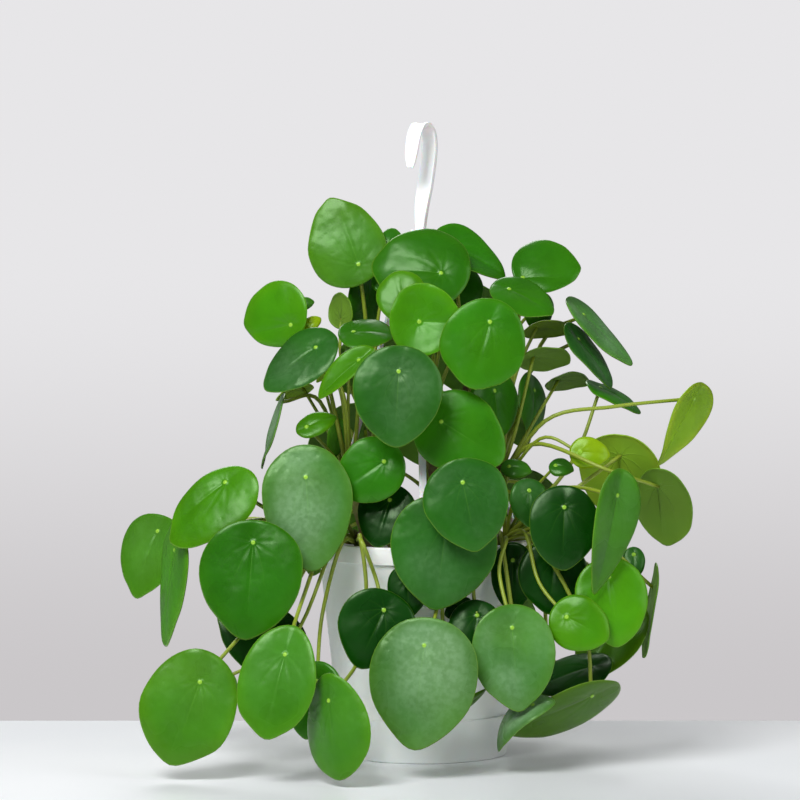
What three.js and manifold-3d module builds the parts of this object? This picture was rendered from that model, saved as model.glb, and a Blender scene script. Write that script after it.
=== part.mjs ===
// Pilea peperomioides in a white plastic hanging pot with its saucer, standing on its foot.
// Millimetres, +Z up, +Y away from the front; the origin is the middle of the saucer's underside.
import * as THREE from "three";
import { mergeVertices } from "three/addons/utils/BufferGeometryUtils.js";
import Module from "manifold-3d";

const wasm = await Module();
wasm.setup();

// ---------------------------------------------------------------- driving dimensions

const GAP = 0.3; // clearance between pieces that rest on each other
const ROUND = 36; // sides of the pot, the saucer and the soil

const POT = {
  height: 150,
  lipRadius: 75,
  bandHeight: 12, // the thick band under the lip
  wallRadius: 72.6, // outside of the wall just under the band
  footRadius: 57.1,
  footZ: 2.1,
  wall: 1.8,
  floor: 2.2,
  drainHoles: 6,
  drainRadius: 4,
  drainCircle: 36,
};

const SAUCER = {
  height: 29.5,
  floor: 1.8,
  wall: 1.5,
};

const SOIL = {
  rimZ: 136.5, // soil level at the wall
  midZ: 139, // and in the middle
  holeFloor: 117.7, // the stems' holes end here
  holeRadius: 5.6,
};

const STEM = {
  rootZ: 118, // the cut end in its hole
  soilZ: 142, // the axis is upright up to here
  lowRadius: 4.2,
  topRadius: 3.2,
  sides: 6,
  steps: 6,
};

const BLADE = {
  thickness: 0.8,
  inner: 4, // points of the inner ring
  smallLength: 32, // shorter blades have fewer points along their edge
  wave: 0.014, // height of the edge's wave, as a part of the width
  nib: 0.035, // length of the small point at the tip, as a part of the length
};

const PETIOLE = {
  radius: 1.5,
  sides: 3,
  steps: 2, // straight pieces between one bend and the next
  root: 2, // the stalk starts this far from the stem's axis, inside the stem
};

const HUB = {
  x: -3.5, // the plant pushes the hanger a little to the left
  bottomZ: 356,
  discRadius: 10.5,
  discThickness: 6,
  neckRadius: 5.5,
  neckTopZ: 367,
};

const HOOK = {
  turn: 28, // degrees between the hook's plane and the view from the front
  web: 2,
  flange: 1.6, // thickness of the two edge flanges
};

const STRAP = {
  width: 5,
  thickness: 1.6,
  kneeZ: 153,
  footZ: 134.4,
  tabReach: 3.3, // how far the clip reaches in under the band
  headZ: 365,
};

// Directions of the three straps round the pot, seen from above: front, back right, back left.
const STRAPS = { front: -90, back_right: 30, back_left: 150 };

// The main stems: where each leaves the soil, where its crown is, and how far it sways aside.
const STEMS = {
  top_left: { foot: [-20, 0], crown: [-38, -8, 266], sway: [-4, 4] },
  top_centre: { foot: [2, 10], crown: [-8, -6, 276], sway: [4, 4] },
  top_right: { foot: [22, 8], crown: [32, -4, 262], sway: [-4, 2] },
  left: { foot: [-36, -12], crown: [-52, -24, 208], sway: [-2, 2] },
  right: { foot: [38, -10], crown: [53, -20, 208], sway: [2, 2] },
  centre: { foot: [12, -30], crown: [10, -42, 178], sway: [2, 2] },
  front_low: { foot: [-12, -50], crown: [-12, -54, 156], sway: [0, 0] },
  low_left: { foot: [-42, -34], crown: [-46, -38, 155], sway: [0, 0] },
  low_right: { foot: [46, -16], crown: [58, -17, 155], sway: [0, 0] },
  back_left: { foot: [-34, 32], crown: [-46, 46, 192], sway: [2, 0] },
  back_right: { foot: [34, 32], crown: [48, 46, 198], sway: [-2, 0] },
  back_top: { foot: [2, 36], crown: [4, 44, 264], sway: [4, 4] },
  back_low: { foot: [0, 56], crown: [-4, 58, 156], sway: [0, 0] },
};

// The leaves of each stem.
// at: where the petiole meets the blade. size: length from notch to tip, and width.
// lean: compass direction in the front view that the blade faces towards when it is tipped.
// tilt: degrees between the blade's face and the front view. tip: where the tip points in it.
// joint: place of the petiole on the stem, 0 at the soil and 1 at the crown.
// via: points that the petiole bends through. fold: rise of both halves from the midrib.
// curl: bend of the tip, in degrees. dome: sag of the edge. seat: the petiole's place along
// the blade. off: its place aside from the middle. taper: widening towards the notch.
const LEAF = { fold: 0, curl: 0, dome: 2, seat: 0.27, off: 0, taper: 0.1 };
const LEAVES = {
  top_left: {
    crown_left_big: {
      at: [-45, -13, 343], size: [63, 53], lean: 330, tilt: 12, tip: 341,
      joint: 0.98, via: [[-40, -4, 303]], seat: 0.22, off: 4, taper: 0.22,
    },
    crown_dark_bit: {
      at: [-27, -8, 329], size: [24, 20], lean: 0, tilt: 30, tip: 20,
      joint: 0.88, via: [[-32, -3, 300]],
    },
    left_flat: {
      at: [-48, -50, 297], size: [38, 38], lean: 0, tilt: 60, tip: 92,
      joint: 0.58, via: [[-36, -21, 248]],
    },
    left_dark_upright: {
      at: [-41, 5, 309], size: [46, 36], lean: 90, tilt: 52, tip: 5,
      joint: 0.78, via: [[-46, 13, 287]],
    },
    left_olive_upright: {
      at: [-57, -14, 305], size: [24, 30], lean: 90, tilt: 125, tip: 5,
      joint: 0.68, via: [[-56, -18, 272]],
    },
  },
  top_centre: {
    crown_centre: {
      at: [12, -42, 337], size: [66, 62], lean: 0, tilt: 30, tip: 276,
      joint: 0.85, via: [[5, -11, 297]], curl: 20, seat: 0.3, off: -4,
    },
    crown_back_tip: {
      at: [-26, -10, 350], size: [27, 24], lean: 330, tilt: 30, tip: 14,
      joint: 0.98, via: [[-15, -11, 324]],
    },
    crown_front: {
      at: [-3, -62, 304], size: [48, 50], lean: 330, tilt: 8, tip: 90,
      joint: 0.58, via: [[7, -25, 280]], dome: -2, seat: 0.42, off: 1,
    },
    crown_front_lobe: {
      at: [-13, -54, 313], size: [36, 34], lean: 330, tilt: 20, tip: 345,
      joint: 0.71, via: [[-20, -34, 302]], taper: -0.15,
    },
  },
  top_right: {
    crown_right_top: {
      at: [20, -18, 356], size: [56, 40], lean: 35, tilt: 48, tip: 119,
      joint: 0.98, via: [[25, -16, 312]], fold: 15, taper: 0.3,
    },
    crown_right_back: {
      at: [22, 1, 334], size: [44, 40], lean: 20, tilt: 20, tip: 180,
      joint: 0.78, via: [[35, 16, 293]],
    },
    centre_right_big: {
      at: [45, -70, 304], size: [60, 58], lean: 0, tilt: 8, tip: 197,
      joint: 0.58, via: [[35, -14, 264]], taper: -0.1,
    },
  },
  left: {
    left_high: {
      at: [-92, -20, 301], size: [50, 46], lean: 280, tilt: 30, tip: 254,
      joint: 0.94, via: [[-71, -23, 277]], seat: 0.29, off: -10,
    },
    left_high_small: {
      at: [-88, -6, 315], size: [15, 10], lean: 330, tilt: 20, tip: 78,
      joint: 0.98, via: [[-56, 25, 248]],
    },
    left_dark: {
      at: [-74, -44, 286], size: [58, 44], lean: 325, tilt: 42, tip: 232,
      joint: 0.82, via: [[-57, -29, 255]],
    },
    left_olive_tip: {
      at: [-80, -18, 301], size: [14, 10], lean: 0, tilt: 30, tip: 55,
      joint: 0.9, via: [[-63, 1, 235]],
    },
    left_olive_low: {
      at: [-84, -6, 257], size: [26, 22], lean: 340, tilt: 115, tip: 250,
      joint: 0.7, via: [[-64, -11, 222]],
    },
    left_sliver: {
      at: [-98, -30, 248], size: [52, 42], lean: 287, tilt: 84, tip: 197,
      joint: 0.66, via: [[-72, -5, 247]], dome: 0, seat: 0.12,
    },
    left_small_low: {
      at: [-80, -55, 232], size: [28, 19], lean: 350, tilt: 40, tip: 68,
      joint: 0.62, via: [[-61, -36, 209]],
    },
    left_folded: {
      at: [-44, -71, 278], size: [48, 24], lean: 318, tilt: 40, tip: 228,
      joint: 0.78, via: [[-45, -35, 244]], fold: 30,
    },
    left_olive_small: {
      at: [-61, -45, 272], size: [20, 18], lean: 330, tilt: 110, tip: 240,
      joint: 0.74, via: [[-53, -35, 243]],
    },
    left_crumpled: {
      at: [-51, -35, 288], size: [13, 12], lean: 330, tilt: 40, tip: 200,
      joint: 0.86, via: [[-52, -25, 244]],
    },
    left_inner_small: {
      at: [-58, -20, 229], size: [26, 18], lean: 90, tilt: 40, tip: 190,
      joint: 0.58, via: [[-62, -10, 207]],
    },
  },
  right: {
    right_top: {
      at: [69, -20, 334], size: [46, 44], lean: 0, tilt: 35, tip: 92,
      joint: 0.98, via: [[64, -14, 280]], seat: 0.17, off: 10,
    },
    right_upper: {
      at: [59, -38, 326], size: [46, 38], lean: 15, tilt: 52, tip: 118,
      joint: 0.95, via: [[56, -17, 275]],
    },
    right_upper_back: {
      at: [82, 6, 317], size: [26, 26], lean: 90, tilt: 30, tip: 185,
      joint: 0.91, via: [[58, 14, 280]],
    },
    right_small_under: {
      at: [79, -6, 299], size: [32, 30], lean: 350, tilt: 115, tip: 95,
      joint: 0.85, via: [[63, -15, 261]],
    },
    outer_upper: {
      at: [112, -10, 308], size: [62, 40], lean: 46, tilt: 68, tip: 136,
      joint: 0.88, via: [[83, 16, 286]], dome: 1,
    },
    outer_mid: {
      at: [108, -19, 291], size: [52, 38], lean: 53, tilt: 66, tip: 144,
      joint: 0.81, via: [[75, 25, 265]], dome: 1,
    },
    outer_under: {
      at: [76, -27, 279], size: [36, 34], lean: 350, tilt: 120, tip: 95,
      joint: 0.78, via: [[63, -29, 225]],
    },
    outer_low_under: {
      at: [95, 4, 262], size: [31, 30], lean: 350, tilt: 115, tip: 95,
      joint: 0.75, via: [[77, -22, 234]],
    },
    outer_far: {
      at: [188, -25, 250], size: [62, 44], lean: 118, tilt: 55, tip: 208,
      joint: 0.65, via: [[84, -37, 235], [132, -37, 245]], fold: 10, dome: 0, seat: 0.2, taper: 0.45,
    },
    right_edge_dark: {
      at: [78, 1, 255], size: [44, 38], lean: 80, tilt: 60, tip: 186,
      joint: 0.68, via: [[52, -4, 222]],
    },
    right_inner: {
      at: [49, -38, 256], size: [46, 44], lean: 90, tilt: 40, tip: 175,
      joint: 0.71, via: [[46, -24, 225]],
    },
    right_small_lime: {
      at: [107, -60, 215], size: [26, 22], lean: 0, tilt: 15, tip: 95,
      joint: 0.61, via: [[80, -44, 223]],
    },
    right_far_olive: {
      at: [161, -52, 191], size: [65, 41], lean: 30, tilt: 140, tip: 172,
      joint: 0.58, via: [[75, -39, 219], [124, -78, 204]], off: -3, taper: -0.05,
    },
  },
  low_right: {
    outer_flat: {
      at: [124, -10, 257], size: [42, 36], lean: 28, tilt: 76, tip: 119,
      joint: 0.98, via: [[103, -20, 205]],
    },
    front_grey_right: {
      at: [59, -112, 100], size: [68, 56], lean: 20, tilt: 10, tip: 176,
      joint: 0.71, via: [[56, -78, 156], [51, -88, 135]], seat: 0.23,
    },
    right_dark: {
      at: [95, -86, 179], size: [55, 47], lean: 0, tilt: 10, tip: 182,
      joint: 0.86, via: [[76, -27, 167]],
    },
    right_far_lime: {
      at: [136, -35, 211], size: [64, 58], lean: 30, tilt: 150, tip: 180,
      joint: 0.96, via: [[96, -41, 182]],
    },
    right_twisted: {
      at: [130, -100, 188], size: [82, 38], lean: 100, tilt: 38, tip: 192,
      joint: 0.88, via: [[94, -56, 189]], fold: 15, seat: 0.22, taper: 0.4,
    },
    right_bright: {
      at: [125, -90, 132], size: [58, 49], lean: 20, tilt: 12, tip: 172,
      joint: 0.77, via: [[74, -41, 155], [109, -49, 139]], seat: 0.23,
    },
    right_bright_small: {
      at: [96, -100, 106], size: [41, 37], lean: 340, tilt: 15, tip: 118,
      joint: 0.73, via: [[69, -62, 160], [78, -82, 128]],
    },
    right_black: {
      at: [89, -69, 142], size: [48, 47], lean: 0, tilt: 12, tip: 185,
      joint: 0.84, via: [[72, -43, 156], [84, -46, 159]],
    },
    right_black_left: {
      at: [61, -63, 141], size: [46, 30], lean: 330, tilt: 15, tip: 180,
      joint: 0.8, via: [[79, -34, 157], [73, -39, 149]],
    },
    right_sliver: {
      at: [159, -38, 120], size: [64, 40], lean: 98, tilt: 93, tip: 188,
      joint: 0.75, via: [[116, -40, 154]], dome: 0,
    },
    right_low_lime: {
      at: [137, -40, 98], size: [66, 46], lean: 330, tilt: 40, tip: 215,
      joint: 0.69, via: [[76, -22, 156], [112, -14, 132], [130, -20, 108]],
    },
    right_low_olive: {
      at: [114, -88, 51], size: [80, 46], lean: 150, tilt: 50, tip: 249,
      joint: 0.65, via: [[77, -66, 154], [108, -84, 99]], off: 6,
    },
    right_low_curled: {
      at: [73, -112, 48], size: [54, 26], lean: 335, tilt: 60, tip: 245,
      joint: 0.63, via: [[53, -68, 156], [62, -86, 90], [64, -98, 44]], curl: 80,
    },
    right_low_dark: {
      at: [114, -64, 68], size: [56, 42], lean: 340, tilt: 60, tip: 250,
      joint: 0.67, via: [[81, -30, 156], [86, -34, 84], [99, -54, 58]],
    },
    right_small_dark: {
      at: [146, -30, 142], size: [22, 15], lean: 0, tilt: 20, tip: 180,
      joint: 0.81, via: [[80, -21, 156], [114, -7, 160]],
    },
    right_young_a: {
      at: [59, -40, 204], size: [20, 16], lean: 0, tilt: 40, tip: 100,
      joint: 0.92, via: [[56, -27, 183]],
    },
    right_young_b: {
      at: [91, -45, 205], size: [16, 15], lean: 0, tilt: 40, tip: 100,
      joint: 0.94, via: [[72, -28, 181]],
    },
    right_blue: {
      at: [72, -66, 189], size: [32, 26], lean: 30, tilt: 20, tip: 180,
      joint: 0.9, via: [[63, -39, 181]],
    },
  },
  centre: {
    centre_dark_big: {
      at: [-17, -88, 271], size: [66, 60], lean: 0, tilt: 8, tip: 183,
      joint: 0.98, via: [[-8, -48, 234]],
    },
    centre_mid: {
      at: [12, -66, 236], size: [64, 56], lean: 0, tilt: 12, tip: 122,
      joint: 0.9, via: [[11, -57, 214]],
    },
    centre_small: {
      at: [-27, -70, 209], size: [48, 44], lean: 330, tilt: 12, tip: 236,
      joint: 0.82, via: [[-2, -46, 191]],
    },
    centre_right_low: {
      at: [26, -104, 197], size: [60, 57], lean: 0, tilt: 8, tip: 168,
      joint: 0.74, via: [[25, -75, 193]],
    },
    centre_low_big: {
      at: [15, -91, 168], size: [74, 72], lean: 0, tilt: 8, tip: 187,
      joint: 0.58, via: [[14, -59, 167]],
    },
    centre_black: {
      at: [-23, -60, 182], size: [43, 40], lean: 330, tilt: 20, tip: 198,
      joint: 0.66, via: [[-6, -45, 175]],
    },
  },
  low_left: {
    far_left_back: {
      at: [-186, -2, 156], size: [58, 52], lean: 300, tilt: 35, tip: 200,
      joint: 0.89, via: [[-118, -4, 165]], seat: 0.2, taper: 0.3,
    },
    far_left_fold: {
      at: [-171, -52, 147], size: [86, 54], lean: 276, tilt: 68, tip: 187,
      joint: 0.85, via: [[-112, -52, 168]], taper: 0.15,
    },
    left_bright: {
      at: [-135, -72, 195], size: [70, 47], lean: 320, tilt: 30, tip: 231,
      joint: 0.95, via: [[-96, -60, 170]], off: 9,
    },
    left_front: {
      at: [-115, -97, 156], size: [77, 70], lean: 330, tilt: 12, tip: 184,
      joint: 0.92, via: [[-90, -50, 158]], seat: 0.2,
    },
    left_grey: {
      at: [-80, -80, 199], size: [82, 61], lean: 0, tilt: 8, tip: 176,
      joint: 0.98, via: [[-64, -48, 186]],
    },
    low_left_end: {
      at: [-149, -132, 66], size: [75, 65], lean: 320, tilt: 12, tip: 199,
      joint: 0.72, via: [[-80, -62, 153], [-107, -77, 112]], seat: 0.28, off: -2, taper: -0.05,
    },
    low_left_mid: {
      at: [-92, -146, 86], size: [73, 54], lean: 320, tilt: 20, tip: 194,
      joint: 0.79, via: [[-66, -51, 155], [-82, -99, 117]], fold: 12, taper: -0.1,
    },
    low_left_dark: {
      at: [-97, -72, 81], size: [64, 48], lean: 0, tilt: 15, tip: 300,
      joint: 0.76, via: [[-67, -52, 156], [-99, -57, 99]],
    },
    low_left_blue: {
      at: [-138, -104, 63], size: [34, 28], lean: 300, tilt: 20, tip: 190,
      joint: 0.66, via: [[-61, -66, 152], [-89, -88, 90]],
    },
    low_left_inner: {
      at: [-72, -112, 64], size: [50, 40], lean: 300, tilt: 25, tip: 192,
      joint: 0.69, via: [[-56, -76, 153], [-69, -73, 105]],
    },
    low_left_folded: {
      at: [-63, -158, 57], size: [67, 54], lean: 275, tilt: 38, tip: 174,
      joint: 0.63, via: [[-43, -80, 158], [-39, -80, 122], [-43, -84, 78]], fold: -15, taper: -0.25,
    },
    front_dark: {
      at: [-27, -94, 110], size: [53, 52], lean: 0, tilt: 8, tip: 205,
      joint: 0.82, via: [[-42, -100, 157], [-33, -83, 132]], seat: 0.25,
    },
  },
  front_low: {
    front_grey_big: {
      at: [0, -128, 90], size: [84, 72], lean: 330, tilt: 10, tip: 187,
      joint: 0.72, via: [[4, -66, 156], [11, -79, 156], [9, -89, 112]], seat: 0.225, off: 2,
    },
    front_behind: {
      at: [36, -90, 106], size: [42, 36], lean: 0, tilt: 25, tip: 190,
      joint: 0.81, via: [[29, -80, 159], [34, -80, 118]],
    },
    front_tiny: {
      at: [29, -78, 111], size: [20, 16], lean: 0, tilt: 20, tip: 250,
      joint: 0.89, via: [[17, -75, 155], [27, -74, 118]],
    },
    front_small_tip: {
      at: [15, -108, 41], size: [40, 20], lean: 150, tilt: 60, tip: 62,
      joint: 0.63, via: [[9, -78, 154], [13, -84, 96]],
    },
    front_behind_left: {
      at: [-11, -85, 131], size: [34, 28], lean: 330, tilt: 10, tip: 178,
      joint: 0.98, via: [[-9, -74, 156], [-11, -77.5, 141]],
    },
  },
  back_low: {
    back_low_a: {
      at: [-38, 105, 84], size: [66, 58], lean: 317, tilt: 152, tip: 177,
      joint: 0.63, via: [[-17, 82, 156], [-21, 71, 111]], dome: 2.5,
    },
    back_low_b: {
      at: [16, 117, 92], size: [72, 64], lean: 27, tilt: 163, tip: 186,
      joint: 0.72, via: [[11, 85, 156], [11, 83, 125]], dome: 2.5,
    },
    back_low_c: {
      at: [58, 89, 98], size: [60, 52], lean: 49, tilt: 139, tip: 154,
      joint: 0.81, via: [[42, 70, 156], [50, 80, 130], [52, 79, 110]], dome: 2.5,
    },
    back_low_d: {
      at: [-112, 64, 104], size: [64, 56], lean: 308, tilt: 131, tip: 207,
      joint: 0.89, via: [[-47, 69, 156], [-84, 56, 126]], dome: 2.5,
    },
    back_mid_c: {
      at: [-18, 102, 152], size: [58, 52], lean: 337, tilt: 156, tip: 178,
      joint: 0.98, via: [[-10, 77, 161]], dome: 2.5,
    },
  },
  back_right: {
    back_low_e: {
      at: [91, 66, 118], size: [58, 50], lean: 54, tilt: 121, tip: 152,
      joint: 0.58, via: [[64, 56, 156], [78, 61, 125]], dome: 2.5,
    },
    back_mid_d: {
      at: [27, 109, 162], size: [70, 62], lean: 26, tilt: 151, tip: 180,
      joint: 0.66, via: [[32, 78, 178]], dome: 2.5,
    },
    back_mid_e: {
      at: [70, 90, 176], size: [64, 58], lean: 47, tilt: 133, tip: 153,
      joint: 0.74, via: [[50, 60, 182]], dome: 2.5,
    },
    back_mid_f: {
      at: [85, 45, 186], size: [54, 48], lean: 53, tilt: 113, tip: 152,
      joint: 0.82, via: [[61, 44, 188]], dome: 2.5,
    },
    back_high_d: {
      at: [34, 85, 226], size: [62, 56], lean: 33, tilt: 143, tip: 176,
      joint: 0.9, via: [[39, 61, 207]], dome: 2.5,
    },
    back_high_e: {
      at: [53, 51, 244], size: [52, 46], lean: 41, tilt: 122, tip: 145,
      joint: 0.98, via: [[47, 45, 225]], dome: 2.5,
    },
  },
  back_left: {
    back_mid_a: {
      at: [-83, 56, 168], size: [70, 62], lean: 307, tilt: 118, tip: 203,
      joint: 0.71, via: [[-63, 49, 173]], dome: 2.5,
    },
    back_mid_b: {
      at: [-63, 93, 160], size: [62, 54], lean: 309, tilt: 139, tip: 204,
      joint: 0.58, via: [[-50, 64, 165]], dome: 2.5,
    },
    back_high_a: {
      at: [-58, 52, 232], size: [60, 54], lean: 314, tilt: 123, tip: 204,
      joint: 0.98, via: [[-49, 46, 218]], dome: 2.5,
    },
    back_high_b: {
      at: [-41, 87, 222], size: [66, 60], lean: 322, tilt: 143, tip: 200,
      joint: 0.85, via: [[-41, 69, 211]], dome: 2.5,
    },
  },
  back_top: {
    back_high_c: {
      at: [-3, 100, 240], size: [64, 56], lean: 356, tilt: 154, tip: 172,
      joint: 0.58, via: [[2, 75, 231]], dome: 2.5,
    },
    back_upper_a: {
      at: [-34, 49, 286], size: [58, 52], lean: 326, tilt: 129, tip: 211,
      joint: 0.71, via: [[-8, 43, 254]], dome: 2.5,
    },
    back_upper_b: {
      at: [-10, 73, 290], size: [60, 54], lean: 348, tilt: 145, tip: 176,
      joint: 0.78, via: [[-4, 57, 270]], dome: 2.5,
    },
    back_upper_c: {
      at: [25, 61, 284], size: [56, 50], lean: 26, tilt: 137, tip: 173,
      joint: 0.65, via: [[13, 51, 255]], dome: 2.5,
    },
    back_crown_a: {
      at: [-31, 34, 328], size: [50, 46], lean: 335, tilt: 115, tip: 216,
      joint: 0.91, via: [[-7, 32, 293]], dome: 2.5,
    },
    back_crown_b: {
      at: [0, 44, 336], size: [54, 48], lean: 0, tilt: 130, tip: 189,
      joint: 0.98, via: [[2, 40, 308]], dome: 2.5,
    },
    back_crown_c: {
      at: [32, 41, 326], size: [48, 44], lean: 26, tilt: 119, tip: 136,
      joint: 0.85, via: [[12, 39, 281]], dome: 2.5,
    },
  },};

// ---------------------------------------------------------------- materials

function surface(color, roughness) {
  return new THREE.MeshStandardMaterial({ color, roughness, metalness: 0 });
}

const FINISH = {
  pot: surface(0xe2e6e4, 0.45),
  saucer: surface(0xdde1df, 0.45),
  soil: surface(0x3a2c20, 0.95),
  hook: surface(0xf0f2f2, 0.4),
  strap: surface(0xe8ecea, 0.4),
  plant: surface(0x3f8a16, 0.38),
};

// ---------------------------------------------------------------- solids

/** Keeps positions only, welds shared points, drops empty triangles and turns the faces out. */
function weld(geometry) {
  const bare = geometry.clone();
  bare.deleteAttribute("normal");
  bare.deleteAttribute("uv");
  const merged = mergeVertices(bare, 1e-3);
  const source = merged.index.array;
  const kept = [];
  for (let i = 0; i < source.length; i += 3) {
    const [a, b, c] = [source[i], source[i + 1], source[i + 2]];
    if (a !== b && b !== c && c !== a) {
      kept.push(a, b, c);
    }
  }
  merged.setIndex(kept);
  if (signedVolume(merged) < 0) {
    for (let i = 0; i < kept.length; i += 3) {
      [kept[i], kept[i + 1]] = [kept[i + 1], kept[i]];
    }
    merged.setIndex(kept);
  }
  return merged;
}

function signedVolume(geometry) {
  const p = geometry.attributes.position;
  const index = geometry.index.array;
  const corners = [new THREE.Vector3(), new THREE.Vector3(), new THREE.Vector3()];
  let total = 0;
  for (let i = 0; i < index.length; i += 3) {
    corners.forEach((corner, k) => corner.fromBufferAttribute(p, index[i + k]));
    total += corners[0].dot(corners[1].clone().cross(corners[2])) / 6;
  }
  return total;
}

function toSolid(geometry) {
  const welded = weld(geometry);
  return new wasm.Manifold(
    new wasm.Mesh({
      numProp: 3,
      vertProperties: Float32Array.from(welded.attributes.position.array),
      triVerts: Uint32Array.from(welded.index.array),
    }),
  );
}

/** The geometry of a solid's largest body; loose scraps and sealed hollows are left out. */
function toGeometry(solid) {
  const bodies = solid.decompose();
  bodies.sort((a, b) => b.volume() - a.volume());
  const mesh = bodies[0].getMesh();
  const geometry = new THREE.BufferGeometry();
  geometry.setAttribute("position", new THREE.BufferAttribute(mesh.vertProperties, 3));
  geometry.setIndex(new THREE.BufferAttribute(mesh.triVerts, 1));
  geometry.computeVertexNormals();
  return geometry;
}

function join(solids) {
  return solids.reduce((whole, piece) => whole.add(piece));
}

/** A body of revolution about +Z from [radius, height] pairs that start and end on the axis. */
function turned(profile) {
  const points = profile.map(([r, z]) => new THREE.Vector2(r, z));
  return new THREE.LatheGeometry(points, ROUND).rotateX(Math.PI / 2);
}

function upright(radius, low, high, sides, x, y) {
  const rod = new THREE.CylinderGeometry(radius, radius, high - low, sides);
  return rod.rotateX(Math.PI / 2).translate(x, y, (low + high) / 2);
}

/** A body through a row of rings that all have the same outline points. */
function loft(rings) {
  const count = rings[0].length;
  const positions = rings.flat().flatMap((p) => [p.x, p.y, p.z]);
  const index = [];
  for (let r = 0; r + 1 < rings.length; r += 1) {
    for (let k = 0; k < count; k += 1) {
      const a = r * count + k;
      const b = r * count + ((k + 1) % count);
      index.push(a, b, a + count, b, b + count, a + count);
    }
  }
  const last = (rings.length - 1) * count;
  for (const [a, b, c] of capTriangles(rings[0])) {
    index.push(c, b, a, last + a, last + b, last + c);
  }
  const geometry = new THREE.BufferGeometry();
  geometry.setAttribute("position", new THREE.Float32BufferAttribute(positions, 3));
  geometry.setIndex(index);
  return geometry;
}

/** Triangles that close a flat ring, found in the ring's own plane. */
function capTriangles(ring) {
  const normal = new THREE.Vector3();
  ring.forEach((p, k) => normal.add(p.clone().cross(ring[(k + 1) % ring.length])));
  normal.normalize();
  const across = ring[1].clone().sub(ring[0]).normalize();
  const up = normal.clone().cross(across);
  const flat = ring.map((p) => new THREE.Vector2(p.dot(across), p.dot(up)));
  return THREE.ShapeUtils.triangulateShape(flat, []);
}

// ---------------------------------------------------------------- pot, saucer and soil

/** Outside radius of the pot's conical wall at a height. */
function wallAt(z) {
  const slope = (POT.wallRadius - POT.footRadius) / (POT.height - POT.bandHeight - POT.footZ);
  return POT.footRadius + slope * (z - POT.footZ);
}

function makePot() {
  const bandZ = POT.height - POT.bandHeight;
  const floorZ = POT.footZ + POT.floor;
  const wall = turned([
    [0, POT.footZ],
    [wallAt(POT.footZ) - 1, POT.footZ],
    [wallAt(POT.footZ + 1), POT.footZ + 1],
    [wallAt(bandZ), bandZ],
    [POT.lipRadius, bandZ],
    [POT.lipRadius, POT.height - 1],
    [POT.lipRadius - 1, POT.height],
    [POT.wallRadius - POT.wall + 1, POT.height],
    [POT.wallRadius - POT.wall, POT.height - 1],
    [wallAt(bandZ) - POT.wall, bandZ],
    [wallAt(floorZ) - POT.wall, floorZ],
    [0, floorZ],
  ]);
  let pot = toSolid(wall);
  for (let k = 0; k < POT.drainHoles; k += 1) {
    const turn = (2 * Math.PI * k) / POT.drainHoles;
    const [x, y] = [POT.drainCircle * Math.cos(turn), POT.drainCircle * Math.sin(turn)];
    pot = pot.subtract(toSolid(upright(POT.drainRadius, 0, floorZ + 2, 12, x, y)));
  }
  return toGeometry(pot);
}

function makeSaucer() {
  const inner = (z) => wallAt(z) + GAP + 0.05;
  const top = SAUCER.height;
  return weld(
    turned([
      [0, 0],
      [inner(SAUCER.floor) + SAUCER.wall - 1.5, 0],
      [inner(SAUCER.floor) + SAUCER.wall, 1.5],
      [inner(top) + SAUCER.wall, top - 0.5],
      [inner(top) + SAUCER.wall - 0.5, top],
      [inner(top), top],
      [inner(SAUCER.floor), SAUCER.floor],
      [0, SAUCER.floor],
    ]),
  );
}

function makeSoil() {
  const bottom = POT.footZ + POT.floor + GAP;
  const inside = (z) => wallAt(z) - POT.wall - GAP - 0.05;
  let soil = toSolid(
    turned([
      [0, bottom],
      [inside(bottom), bottom],
      [inside(SOIL.rimZ), SOIL.rimZ],
      [60, SOIL.rimZ + 1.2],
      [35, SOIL.midZ - 0.4],
      [0, SOIL.midZ],
    ]),
  );
  for (const { foot } of Object.values(STEMS)) {
    const hole = upright(SOIL.holeRadius, SOIL.holeFloor, SOIL.midZ + 3, STEM.sides, ...foot);
    soil = soil.subtract(toSolid(hole));
  }
  return toGeometry(soil);
}

// ---------------------------------------------------------------- hanger

const HOOK_TURN = THREE.MathUtils.degToRad(HOOK.turn);
const HOOK_FORWARD = new THREE.Vector3(-Math.sin(HOOK_TURN), -Math.cos(HOOK_TURN), 0);
const HOOK_ACROSS = new THREE.Vector3(Math.cos(HOOK_TURN), -Math.sin(HOOK_TURN), 0);

// The hook's inner line: [forward of the hub, height, half width, depth of the flanges].
const HOOK_LINE = [
  [-1.5, 366, 3.2, 4.6],
  [-2, 374, 4, 4.4],
  [-4, 385, 5, 4.2],
  [-8, 396, 5.5, 4],
  [-12, 408, 5.5, 4],
  [-15, 420, 5.5, 4],
  [-15.6, 428, 5.5, 4],
  [-14, 434, 5.5, 3.6],
  [-10.4, 438.2, 5.5, 3],
  [-6, 439.6, 5.5, 2.6],
  [-1, 438.6, 5.5, 2.4],
  [3, 435, 5.5, 2.3],
  [6.4, 429, 5.3, 2.2],
  [8.6, 421, 4.8, 2.2],
  [9.8, 414, 3.6, 2.2],
  [10.4, 410, 2.4, 2.2],
];

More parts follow.
